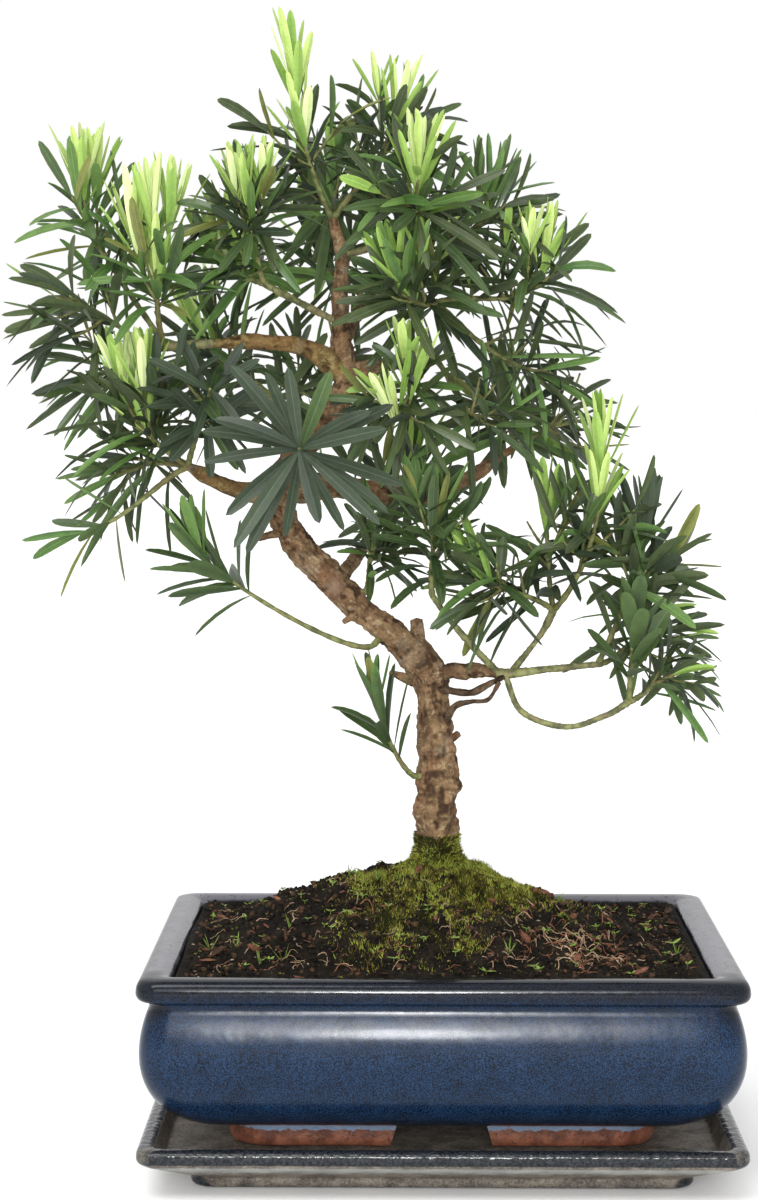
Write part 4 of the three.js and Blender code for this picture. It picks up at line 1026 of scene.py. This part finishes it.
def moss_strength(x, y):
    """Where moss grows: round the trunk, in a patch in front of it, and where noise picks near it."""
    reach = away_from(x, y, MOSS_MIDDLE, MOSS_REACH)
    front = away_from(x, y, MOSS_PATCH, MOSS_PATCH_HALF)
    flat = level(x, y)
    near = (1 - smooth_step(reach, 0.35, 1.7)) * smooth_step(noise(flat / 15, 3), 0.3, 0.6)
    patch = (1 - smooth_step(front, 0.6, 1.15)) * smooth_step(noise(flat / 7, 8), 0.3, 0.62)
    return np.clip(1.3 * near + 2 * patch + (1 - smooth_step(reach, 0.55, 0.8)), 0, 1)


def moss_top(x, y):
    """The moss cushion's height over the soil: it climbs the trunk's foot and thins outwards."""
    away = away_from(x, y, (MOSS_MIDDLE[0] / 2, MOSS_MIDDLE[1]), MOSS_HALF)
    climb = 9 * np.exp(-np.maximum(away_from(x, y, SEAT) - 9.4, 0) / 3)
    cushion = 1.6 * np.sqrt(np.clip(1 - away**2, 0, 1))
    return np.maximum(cushion, climb) + 3.0 * fractal(level(x, y) / 5, 4, 31)


def moss_lobe(angle):
    """How far the cushion's outline reaches at an angle, as a share of its half sizes."""
    return 1 + 0.1 * np.cos(3 * angle + 1) + 0.07 * np.cos(5 * angle)


def collar_radius(rise, angle):
    """The radius of the moss that climbs the trunk, at a share of its height and an angle."""
    around = np.stack([5 * np.cos(angle), 5 * np.sin(angle), 6 * rise], -1)
    return 10.8 - 1.5 * rise + 1.6 * fractal(around / 2, 3, 61)


def make_moss():
    """The moss under its blades: a cushion round the trunk's foot, and a collar that climbs it."""
    heap = Heap()
    angle = circle(180)
    lobe = moss_lobe(angle)
    spread = np.linspace(1.05, 0.25, 50)[:, None]
    x, y = (MOSS_MIDDLE[k] * spread + MOSS_HALF[k] * spread * lobe * wave
            for k, wave in enumerate((np.cos(angle), np.sin(angle))))
    rim = smooth_step(1.05 - spread, 0, 0.12)
    z = soil_height(x, y) - 2.5 + rim * (2.5 + moss_top(x, y))
    loops = np.stack([x, y, z], -1)
    loops = np.concatenate([loops[:1] - (0, 0, 6), loops])
    heap.add_rings(loops, [[*MOSS_MIDDLE, 105], [*SEAT, SEAT_HEIGHT + 8]])
    rise, turn = np.broadcast_arrays(np.linspace(0, 1, 20)[:, None], circle(90))
    radius = collar_radius(rise, turn)
    uneven = noise(np.stack([2 * np.cos(turn), 2 * np.sin(turn), rise], -1), 5)
    height = SEAT_HEIGHT + COLLAR_HEIGHT * rise + 2 * rise * uneven
    rings = np.stack([SEAT[0] + radius * np.cos(turn), SEAT[1] + radius * np.sin(turn), height], -1)
    heap.add_rings(rings, [[*SEAT, SEAT_HEIGHT - 2], [*SEAT, SEAT_HEIGHT + COLLAR_HEIGHT + 1]])
    heap.piece("moss_cushion", [MOSS[0]], "moss", ["moss"])


def make_moss_blades():
    """Short moss blades: three-sided spikes that lean at random, thick where the moss is strong,
    then those that stand out from the collar round the trunk."""
    random = np.random.default_rng(45)
    x = MOSS_MIDDLE[0] - 6 + random.normal(0, 32, MOSS_TRIALS)
    y = MOSS_MIDDLE[1] - 10 + random.normal(0, 30, MOSS_TRIALS)
    inside = (abs(x) < SOIL_WALL[0] - 3) & (abs(y) < SOIL_WALL[1] - 3) & (away_from(x, y, SEAT) > 10)
    grows = inside & (random.random(MOSS_TRIALS) < moss_strength(x, y))
    x, y = x[grows], y[grows]
    lobe = moss_lobe(np.arctan2(y - MOSS_MIDDLE[1], x - MOSS_MIDDLE[0]))
    away = away_from(x, y, MOSS_MIDDLE, MOSS_HALF) / lobe
    ground = soil_surface(x, y)
    z = np.where(away < 0.97, np.maximum(soil_height(x, y) + moss_top(x, y), ground), ground) - 0.5
    way = unit(np.stack([*random.normal(0, 0.45, (2, len(x))), np.ones(len(x))], -1))
    rise, turn = random.random(COLLAR_BLADES), random.uniform(0, 2 * math.pi, COLLAR_BLADES)
    out = np.stack([np.cos(turn), np.sin(turn), 0.4 + 0.5 * random.random(COLLAR_BLADES)], -1)
    radius = collar_radius(rise, turn) - 0.3
    collar = np.stack([SEAT[0] + radius * out[:, 0], SEAT[1] + radius * out[:, 1],
                       SEAT_HEIGHT + COLLAR_HEIGHT * 1.08 * rise], -1)
    root = np.concatenate([np.stack([x, y, z], -1), collar])
    way = np.concatenate([way, unit(out + random.normal(0, 0.25, out.shape))])
    count = len(root)
    tall = smooth_step(noise(level(root[:, 0], root[:, 1]) / 9, 77), 0.45, 0.75)[:, None]
    length = random.uniform(0.9, 2.2, (count, 1)) * (1 + tall)
    width = random.uniform(0.16, 0.34, (count, 1))
    edge = unit(np.cross(way, random.normal(size=(count, 3))))
    face = np.cross(way, edge)
    shapes = np.stack([root + width * edge, root + width * (-0.5 * edge + 0.8 * face),
                       root + width * (-0.5 * edge - 0.8 * face), root + length * way], 1)
    bright = 0.5 * noise(root / 3, 91) + 0.5 * noise(root / 9, 92) + random.normal(0, 0.15, count)
    bright = bright - 0.1 * smooth_step(-root[:, 1], 26, 40)
    faces = np.array([[0, 1, 3], [1, 2, 3], [2, 0, 3], [0, 2, 1]])
    heap = Heap()
    heap.add_copies(shapes, faces, (bright > 0.42).astype(int) + (bright > 0.57))
    heap.piece("moss_blades", MOSS, "moss", ["moss"])


# Limbs


def bark_relief(seed, strength, knots=()):
    """Bark's relief on a limb. Plates and lumps: two sizes of noise. Flakes: a steep step of noise.
    Wrinkles: noise stretched round the limb. Fissures: noise stretched along it. Grain: fine noise.
    Knots: round swellings on a bell curve."""
    def relief(radii, angle, middles):
        run = run_along(middles)
        spokes = np.stack([np.cos(angle), np.sin(angle)], -1)
        place = np.concatenate([
            radii[..., None] * spokes[None],
            np.broadcast_to(run[:, None, None], (*radii.shape, 1))], -1) + (40, 40, 40)
        plates = fractal(place / (6, 6, 7.5), 3, seed)
        flakes = np.tanh(9 * fractal(place / (3.6, 3.6, 4), 3, seed + 7))
        grain = fractal(place / (1.1, 1.1, 1.2), 3, seed + 13)
        lumps = fractal(place / (12, 12, 14), 2, seed + 19)
        wrinkles = fractal(place / (8, 8, 2), 2, seed + 23)
        fissures = fractal(place / (2, 2, 9), 2, seed + 29)
        height = 1.4 * plates + 0.3 * flakes + 0.6 * grain + 2.6 * lumps + 0.9 * wrinkles + 0.8 * fissures
        scars = np.zeros_like(height)
        for at, turn, size, rise in knots:
            gap = np.angle(np.exp(1j * (angle - turn)))
            near = ((run[:, None] - at) / size) ** 2 + (gap[None] * radii / size) ** 2
            height = height + 1.5 * rise * np.exp(-near) - 0.5 * rise * np.exp(-near * 9)
            scars = scars + np.exp(-near * 5)
        share = strength * np.clip(radii / 9.0, 0.25, 1.0)
        # How raised the bark is: low in the cracks and in the middle of each knot, where the bark's finish
        # paints shade.
        crack = 0.52 + 0.25 * plates + 0.16 * flakes + 0.4 * grain + 0.45 * wrinkles + 0.55 * fissures
        return radii + share * height, np.clip(crack - 0.5 * scars, 0, 1)
    return relief


# Knots on the trunk and on the lowest bough: how far up the line in mm, the turn round it, the size
# and the rise
TRUNK_KNOTS = [
    (14, 4.6, 5, 1.2), (33, 3.4, 6, 1.6), (52, 5.3, 7, 1.8), (70, 4.2, 6, 1.2), (84, 5.6, 8, 2.2),
    (96, 3.6, 8, 1.8), (118, 4.9, 6, 1.4), (138, 3.9, 5, 1.0), (150, 5.2, 6, 1.5), (170, 4.4, 6, 1.3),
    (186, 5.6, 5, 1.4), (204, 4.2, 6, 1.6), (232, 5.0, 5, 1.2), (24, 5.1, 4, 1.6), (42, 4.4, 4.5, 1.8),
    (62, 3.1, 4, 1.6), (78, 6.2, 4, 1.8), (90, 4.7, 5, 1.7)]
BOUGH_KNOTS = [
    (5, 4.5, 2.6, 1.5), (10, 1.5, 2.6, 1.3), (15, 5.5, 2.8, 1.7), (21, 3.6, 2.4, 1.4), (27, 0.8, 2.6, 1.6),
    (30, 4.8, 2.2, 1.3)]
# How much thinner the bark's middle surface is than the limb, against the height
TRUNK_THINNER = (
    [119, 124, 134, 144, 160, 183, 192, 206, 216, 250, 290, 320, 345, 400],
    [0.6, 0.66, 0.76, 0.88, 0.77, 0.75, 0.62, 0.6, 0.66, 0.72, 0.8, 0.9, 0.95, 0.7])


def make_trunk():
    """The trunk with its bark, its stubs and its two dead twigs. Its foot is a little wider, and
    lowered into the moss."""
    heap = Heap()
    middles, tangents, radii = limb_line(LIMBS["trunk"], TRUNK_STATIONS)
    rise = middles[:, 2] - middles[0, 2]
    radii = radii * np.interp(middles[:, 2], *TRUNK_THINNER) + 0.3 * np.exp(-rise / 9)
    middles[:, 2] -= 4 * np.exp(-rise / 3)
    add_tube(heap, middles, tangents, radii, TRUNK_ROUND, 0, bark_relief(3, 1.15, TRUNK_KNOTS))
    for k, stub in enumerate(STUBS):
        dead = k in DEAD_STUBS
        relief = bark_relief(60 + k, 1.1 if dead else 0.8)
        add_tube(heap, *limb_line(stub, STUB_STATIONS), STUB_ROUND, int(dead), relief, 0.35)
    heap.piece("trunk_bark", [BARK, DEAD_BARK], "bark", ["trunk"], "raised")


def make_boughs():
    """The boughs: brown bark on the older ones, swollen at their foot, and thin green bark with
    ring-shaped scars on the young ones. Where a bough changes, the green begins inside the brown."""
    brown, green = Heap(), Heap()
    last = BOUGH_STATIONS - 1
    for k, (bough, path) in enumerate(LIMBS.items()):
        if bough == "trunk":
            continue
        middles, tangents, radii = limb_line(path, BOUGH_STATIONS)
        run = run_along(middles)
        change = round(last * (BROWN_BOUGHS.get(bough, 1) - 1) / (len(path) - 1))
        if change > 0:
            end = slice(0, change + 1)
            knobby = bough == "right_low"
            tan = bough in ("left_mid", "left_low")
            swell = 0.74 if knobby else 1 + 0.3 * np.exp(-((run - 9) / 7) ** 2)
            thinner = 1 - (1 - GREEN_THINNER) * smooth_step(np.arange(BOUGH_STATIONS), change - 24, change)
            strength = 1.6 if knobby else 1.2 - 0.5 * tan
            relief = bark_relief(80 + 7 * k, strength, BOUGH_KNOTS if knobby else ())
            thick = (radii * swell * thinner)[end]
            add_tube(brown, middles[end], tangents[end], thick, BROWN_ROUND, int(tan), relief)
        if change < last:
            rest = slice(max(change - 6, 0), BOUGH_STATIONS)
            scars = 1 + 0.12 * np.maximum(np.sin(run * 2.4), 0) ** 4
            thin = (radii * scars)[rest] * GREEN_THINNER
            relief = bark_relief(81 + 7 * k, 0.7)
            add_tube(green, middles[rest], tangents[rest], thin, GREEN_ROUND, 0, relief)
    old = [f"bough_{name}" for name in BROWN_BOUGHS]
    young = [f"bough_{name}" for name in LIMBS if name not in BROWN_BOUGHS and name != "trunk"]
    brown.piece("boughs_brown", [BARK, TAN_BARK], "bark", old, "raised")
    green.piece("boughs_green", [GREEN_BARK], "bark", young, "raised")


# The growth rule


def turned(vector, axis, angle):
    """A vector turned round an axis, by Rodrigues' formula."""
    return (vector * math.cos(angle) + np.cross(axis, vector) * math.sin(angle)
            + axis * (axis @ vector) * (1 - math.cos(angle)))


def leaning(axis, turn, pitch):
    """The direction that leaves an axis at a pitch, turned round it by an angle."""
    reference = np.array([0.0, 0, 1]) if abs(axis[2]) < 0.9 else np.array([1.0, 0, 0])
    across = unit(np.cross(reference, axis))
    square = np.cross(axis, across)
    return axis * math.cos(pitch) + math.sin(pitch) * (across * math.cos(turn) + square * math.sin(turn))


def seat_of(limb, height, centre):
    """Where a stem leaves its limb and which way: at the tip, or on the trunk at a given height."""
    middles, tangents, radii = limb_line(LIMBS[limb], SEAT_STATIONS)
    at = int(np.argmin(abs(middles[:, 2] - height))) if height else -1
    point, along = middles[at], unit(tangents[at])
    way = unit(np.array(centre) - point)
    way = unit(way + along * (-(way @ along) if height else 0.3))
    return {"point": point, "along": along, "way": way, "radius": radii[at], "key": height or limb,
            "tip": not height}


def part_ways(first, second, angle):
    """Two directions turned away from each other until they are a given angle apart."""
    between = math.acos(np.clip(first @ second, -1, 1))
    if between >= angle:
        return first, second
    axis = unit(np.cross(first, second))
    half = (between - angle) / 2
    return turned(first, axis, half), turned(second, axis, -half)


def forked_seats():
    """The seats of all masses, with the stems that share a tip forked well apart."""
    seats = [seat_of(mass.limb, TRUNK_STEMS.get(name, 0), mass.centre) for name, mass in MASSES.items()]
    for _ in range(FORK_ROUNDS):
        for k, seat in enumerate(seats):
            for other in seats[k + 1:]:
                if other["key"] == seat["key"]:
                    seat["way"], other["way"] = part_ways(seat["way"], other["way"], STEM_FORK)
            if seat["tip"]:
                seat["way"], _ = part_ways(seat["way"], -seat["along"], STEM_FORK * 1.1)
    return seats


def stem_of(seat, mass, aim):
    """A mass's stem as the four points of its Bezier curve. On the trunk it turns up at once."""
    start = seat["point"] + seat["way"] * (seat["radius"] - 0.6)
    tip = np.array(mass.centre) + aim * 0.3 * mass.reach
    span = np.linalg.norm(tip - start)
    push = 0.3 if seat["tip"] else 0.13
    return [start, start + seat["way"] * push * span, tip - aim * min(0.55 * mass.reach, 0.5 * span), tip]


def shoots_of(stem, aim, mass, seed, tiers):
    """Side shoots: each leaves the stem round its main shoot and bends up, more so where it ends
    in a flush. Those beyond the source's own are shorter, and start over more of the stem. Under
    a flush of two tiers all of them start lower, so that it stands free."""
    shoots = []
    fine = mass.sides + 1 if mass.sides else 0
    for k in range(mass.sides + fine):
        own, flushed = k < mass.sides, mass.flushes > k + 1
        low = 0.55 + 0.2 * draw(seed, 10 + k) if own else 0.42 + 0.46 * draw(seed, 10 + k)
        root = bezier(stem, [low * (0.6 if tiers > 1 else 1)])[0][0]
        turn = GOLDEN_TURN * k + 2 * math.pi * draw(seed, 0)
        pitch = 0.9 + 0.35 * draw(seed, 20 + k) - (0 if own else 0.2)
        way = leaning(aim, turn, 0.55 * pitch if flushed else pitch)
        length = mass.reach * (0.45 + 0.15 * draw(seed, 30 + k)) * (0.75 if flushed or not own else 1)
        lift = 0.9 if flushed else 0.2
        shoots.append([root, root + way * 0.5 * length, root + way * length + (0, 0, lift * length)])
    return shoots


def limb_points():
    """Points along every limb and stub with the radius there, which leaves keep clear of."""
    lines = [limb_line(path, 12 * len(path)) for path in [*LIMBS.values(), *STUBS]]
    return np.concatenate([m for m, _, _ in lines]), np.concatenate([r for _, _, r in lines])


LIMB_MIDDLES, LIMB_RADII = limb_points()


def is_clear(root, way, length):
    """Whether a leaf keeps off the limbs: seven points along it, past its root."""
    along = root + way * length * np.linspace(0.3, 1, 7)[:, None]
    gaps = np.linalg.norm(along[:, None] - LIMB_MIDDLES[None], axis=-1) - LIMB_RADII[None]
    return gaps.min() > CLEARANCE


def in_gap(point):
    """Whether a point lies where the crown is open from front to back: inside an ellipse in x and z."""
    x, z, wide, high = CROWN_GAP
    return ((point[0] - x) / wide) ** 2 + ((point[2] - z) / high) ** 2 < 1


def add_leaf(leaves, mass, root, along, turn, pitch, full, width, bend, twist, tone, ripeness_and_sheen):
    """One leaf, if one of its lengths stays in the mass's reach and touches no limb."""
    way = leaning(along, turn, pitch)
    for step in LENGTH_STEPS:
        length = full * step
        tip = root + way * length
        inside = np.linalg.norm(tip - mass.centre) <= mass.reach and not in_gap(tip)
        if inside and is_clear(root, way, length):
            face = turned(unit(np.cross(np.cross(way, along), way)), way, twist)
            leaves.append((root, way, face, length, width, bend, TONE_NAMES.index(tone), ripeness_and_sheen))
            return


def tone_of(tone, chance):
    """A leaf's tone: its mass's own, or for a share of the leaves one that it strays to."""
    for other, share in STRAYS.get(tone, ()):
        if chance < share:
            return other
        chance -= share
    return tone


def leaves_on(curve, count, mass, seed, has_flush, tiers, leaves):
    """Leaves of one shoot: they follow the golden turn, wide below and upright at the tip. A shoot
    with a flush ends in a tight upright bunch of new leaves that grow younger towards the tip."""
    line, _ = bezier(curve, np.linspace(0, 1, 24))
    opening = mass.opening
    leafy = LEAFY_SHARE if mass.sides or opening else TUFT_SHARE
    first = 1 - leafy * min(1, mass.reach / run_along(line)[-1])
    limp = min(1.8, (4.4 / mass.width) ** 2)
    share = TIERS_SHARE if tiers > 1 else FLUSH_SHARE
    last = 1 - share * (1 - first) if has_flush else 0.99
    last_pitch = opening or (0.75 if has_flush else LAST_PITCH)
    lowest = opening + 0.5 if 0 < opening < 0.6 else LOWEST_PITCH
    loose = 0.25 if opening > 0.6 else 0.5
    for j in range(count):
        rise = j / (count - 1) if count > 1 else 1
        points, tangents = bezier(curve, [first + (last - first) * rise])
        pitch = lowest + (last_pitch - lowest) * rise**1.2 + 0.35 * (draw(seed, 140 + j) - 0.5)
        turn = GOLDEN_TURN * j + 2 * math.pi * draw(seed, 50) + loose * (draw(seed, 180 + j) - 0.5)
        full = mass.leaf * (0.75 + 0.4 * draw(seed, 60 + j)) * (1 - 0.15 * rise)
        width = mass.width * (0.75 + 0.35 * draw(seed, 320 + j))
        bend = limp * (0.06 + 0.34 * draw(seed, 260 + j) ** 1.5)
        twist = 0.8 * (draw(seed, 200 + j) - 0.5)
        tone = tone_of(mass.old, draw(seed, 380 + j))
        add_leaf(leaves, mass, points[0], unit(tangents[0]), turn, pitch, full, width, bend, twist, tone,
                 draw(seed, 420 + j))
    for k in range(tiers * FLUSH_LEAVES if has_flush else 0):
        tier, j = divmod(k, FLUSH_LEAVES)
        below = tier < tiers - 1
        rise = j / (FLUSH_LEAVES - 1)
        low, high = FLUSH_SPAN[tiers - 1 + tier]
        points, tangents = bezier(curve, [last + (0.99 - last) * (low + (high - low) * rise)])
        pitch = FLUSH_PITCH[0] + (FLUSH_PITCH[1] - FLUSH_PITCH[0]) * rise + 0.2 * (draw(seed, 440 + k) - 0.5)
        pitch = abs(pitch + (0.12 if below else 0))
        turn = GOLDEN_TURN * k + 2 * math.pi * draw(seed, 51) + 0.4 * (draw(seed, 480 + k) - 0.5)
        full = mass.leaf * (0.76 + 0.22 * draw(seed, 520 + k)) * (0.85 if below else 1)
        width = mass.width * (0.72 + 0.24 * draw(seed, 600 + k))
        bend = 0.12 * (draw(seed, 640 + k) - 0.55)
        twist = 0.7 * (draw(seed, 680 + k) - 0.5)
        tone = "fresh" if mass.new == "young" and rise < 0.25 else tone_of(mass.new, draw(seed, 560 + k))
        upright = unit(0.7 * unit(tangents[0]) + (0, 0, 1))
        add_leaf(leaves, mass, points[0], upright, turn, pitch, full, width, bend, twist, tone,
                 draw(seed, 720 + k))


# The outline of a leaf: how far along it, and its width there as a share of the whole width
LEAF_OUTLINE = np.array([[0.03, 0.2], [0.16, 0.55], [0.36, 0.86], [0.6, 1.0], [0.82, 0.88], [0.95, 0.52]])
# Its section: the place of each line across it, the last one in the middle of the underside, and
# the finish of each strip that begins at one: 0 for the blade, 1 for the rib, 2 for the underside
LEAF_ACROSS = np.array([-1, -0.55, -0.07, 0.07, 0.55, 1, 0.0])
LEAF_UNDERSIDE = 6
LEAF_STRIPS = np.array([0, 0, 1, 0, 0, 2, 2])
LEAF_FOLD = 0.22
LEAF_THICKNESS = 0.45


def add_leaves(heap, leaves):
    """Leaves as closed thin bodies. Middle line: the root plus the length times the way, bent back
    by the square of the distance, and sagging where it bends. Across: a shallow gutter of straight
    sides, with the middle rib as a narrow strip, and an underside that is thickest in the middle.
    The leaf's colour attribute is its own number, higher towards its tip, and higher at its edges as a
    painted highlight."""
    root, way, face, length, width, bend, tone, shade = (np.array(values) for values in zip(*leaves))
    length, width, bend = (values[:, None, None] for values in (length, width, bend))
    edge = np.cross(way, face)
    along = np.concatenate([LEAF_OUTLINE[:, 0], [0, 1]])[None, :, None]
    flatness = np.sqrt(np.clip(1 - way[:, 2] ** 2, 0, 1))[:, None, None]
    sag = np.maximum(bend, 0) * flatness * np.array([0, 0, 1.0])
    middle = root[:, None] + length * (along * way[:, None] - along**2 * (0.6 * bend * face[:, None] + sag))
    outline = LEAF_OUTLINE[None, :, 1, None, None]
    half = 0.5 * width[..., None] * outline
    across = LEAF_ACROSS[None, None, :, None]
    underside = (np.arange(len(LEAF_ACROSS)) == LEAF_UNDERSIDE)[None, None, :, None]
    lift = LEAF_FOLD * abs(across) * half - LEAF_THICKNESS * underside * outline
    rings = middle[:, :-2, None] + edge[:, None, None] * across * half + face[:, None, None] * lift
    count, rings_each = rings.shape[:2]
    points = np.concatenate([rings.reshape(count, -1, 3), middle[:, -2:]], 1)
    quads, tris = tube_faces(rings_each, len(LEAF_ACROSS))
    offsets = np.arange(count)[:, None, None] * points.shape[1]
    quad_kinds, tri_kinds = (
        (3 * tone[:, None] + np.tile(LEAF_STRIPS, times)).ravel() for times in (rings_each - 1, 2))
    # paler: higher towards the tip, and higher at both edges as a painted highlight
    paler = 0.26 * LEAF_OUTLINE[:, :1] + 0.44 * LEAF_ACROSS[None] ** 4
    ripeness_and_sheen = np.concatenate([paler.ravel(), [0, 0.3]])
    ripeness_and_sheen = np.clip(0.75 * shade[:, None] + ripeness_and_sheen[None] - 0.08, 0, 1).ravel()
    heap.add(points, quads[None] + offsets, tris[None] + offsets, quad_kinds, tri_kinds, ripeness_and_sheen)


# The masses that share a leaf mesh
LEAF_GROUPS = {
    "leaves_top": ["top", "top_right", "top_back", "upper_left", "upper_front", "upper_right"],
    "leaves_right": [
        "right_tip", "right_middle", "heart", "heart_low", "right_hang", "right_droop", "behind_trunk"],
    "leaves_left": [
        "left_spire", "left_tip", "left_crown", "left_inner", "left_droop", "left_lower", "left_rosette",
        "left_under", "left_twig", "front_rosette", "twig_left", "twig_low"],
    "leaves_low": [
        "inner_low", "low_spire", "low_middle", "low_inner", "low_upper", "low_tip", "sagging_spire",
        "sagging_tip"],
    "leaves_back": ["back_top", "back_right", "back_side", "back_left", "back_middle", "back_low"],
}


def make_foliage():
    """All masses: each grows its stem, its side shoots and their leaves."""
    seats = forked_seats()
    leaves_of = {name: [] for name in MASSES}
    twigs = Heap()
    for seed, (name, mass) in enumerate(MASSES.items()):
        aim = unit(mass.aim)
        tiers = 2 if name in TWO_TIERS else 1
        stem = stem_of(seats[seed], mass, aim)
        shoots = shoots_of(stem, aim, mass, seed, tiers)
        leaves_on(stem, mass.leafy, mass, 100 * seed, mass.flushes > 0, tiers, leaves_of[name])
        for k, shoot in enumerate(shoots):
            count = round(0.6 * mass.leafy)
            leaves_on(shoot, count, mass, 100 * seed + 1 + k, mass.flushes > k + 1, 1, leaves_of[name])
        for k, curve in enumerate([stem, *shoots]):
            stations, first, last = (26, 1.45, 0.65) if k == 0 else (14, 0.85, 0.45)
            middles, tangents = bezier(curve, np.linspace(0, 1, stations))
            if k == 0:
                middles = np.vstack([seats[seed]["point"], middles])
                tangents = np.vstack([tangents[:1], tangents])
            rings = 1 + 0.12 * np.sin(np.arange(len(middles)) * 2.4)
            add_tube(twigs, middles, tangents, np.linspace(first, last, len(middles)) * rings, 7)
    twigs.piece("twigs", [TWIG_BARK], "foliage", [f"foliage_{name}" for name in MASSES])
    for group, names in LEAF_GROUPS.items():
        heap = Heap()
        add_leaves(heap, [leaf for name in names for leaf in leaves_of[name]])
        heap.piece(group, LEAF_FINISHES, "foliage", [f"foliage_{name}" for name in names], "ripeness_and_sheen", 40)


make_tray()
make_pot()
make_feet()
make_soil()
make_crumbs()
make_rootlets()
make_moss()
make_moss_blades()
make_seedlings()
make_trunk()
make_boughs()
make_foliage()

# Camera, light and floor, in metres

FLOOR_RADIUS = 30
FLOOR_HEIGHT = -0.0005
# The softboxes: name, place, strength, width and height
SOFTBOX_TARGET = (0, 0, 0.08)
SOFTBOXES = [
    ("softbox", (-0.02, -2.0, 0.5), 13, 0.18, 0.3),
    ("diffuser", (-0.04, -2.05, 0.7), 8, 0.6, 0.5),
    ("screen", (-0.25, -2.1, 0.95), 8, 1.3, 0.8)]


def make_camera():
    """The camera that the photograph was taken with, as fitted to the pot and the tray."""
    data = bpy.data.cameras.new("camera")
    data.sensor_width = SENSOR
    data.lens = FOCAL_PIXELS * SENSOR / PHOTO_HEIGHT
    data.clip_start = 0.05
    data.clip_end = 100
    ahead = math.cos(CAMERA_TILT)
    way = Vector((-math.sin(CAMERA_YAW) * ahead, math.cos(CAMERA_YAW) * ahead, -math.sin(CAMERA_TILT)))
    bpy.context.scene.camera = placed("camera", data, Vector(CAMERA_PLACE) * MM, way)


def add_light(name, kind, place, target, energy, **settings):
    """A light of a kind, aimed from its place at a target, both in metres."""
    data = bpy.data.lights.new(name, kind)
    data.energy = energy
    for key, value in settings.items():
        setattr(data, key, value)
    placed(name, data, place, Vector(target) - Vector(place))


def make_studio():
    """A wide pale floor under a white sky, with soft light from high in front and three softboxes."""
    world = bpy.data.worlds.new("studio")
    world.use_nodes = True
    background = world.node_tree.nodes["Background"].inputs
    background["Color"].default_value = (1, 1, 1, 1)
    background["Strength"].default_value = 1.0
    bpy.context.scene.world = world
    add_light("overhead", "SUN", (-0.5, -0.9, 1.6), (0, 0, 0), 1.4, angle=math.radians(30))
    for name, place, energy, wide, high in SOFTBOXES:
        add_light(name, "AREA", place, SOFTBOX_TARGET, energy, shape="ELLIPSE", size=wide, size_y=high)
    look = Look("pale_floor", Base_Color=(0.9, 0.9, 0.9), Roughness=0.9)
    mesh = bpy.data.meshes.new("floor")
    rim = [(FLOOR_RADIUS * math.cos(a), FLOOR_RADIUS * math.sin(a), FLOOR_HEIGHT) for a in circle(96)]
    mesh.from_pydata(rim, [], [range(len(rim))])
    mesh.materials.append(look.material)
    floor = placed("floor", mesh)


make_camera()
make_studio()
bpy.context.scene.view_settings.view_transform = "Standard"
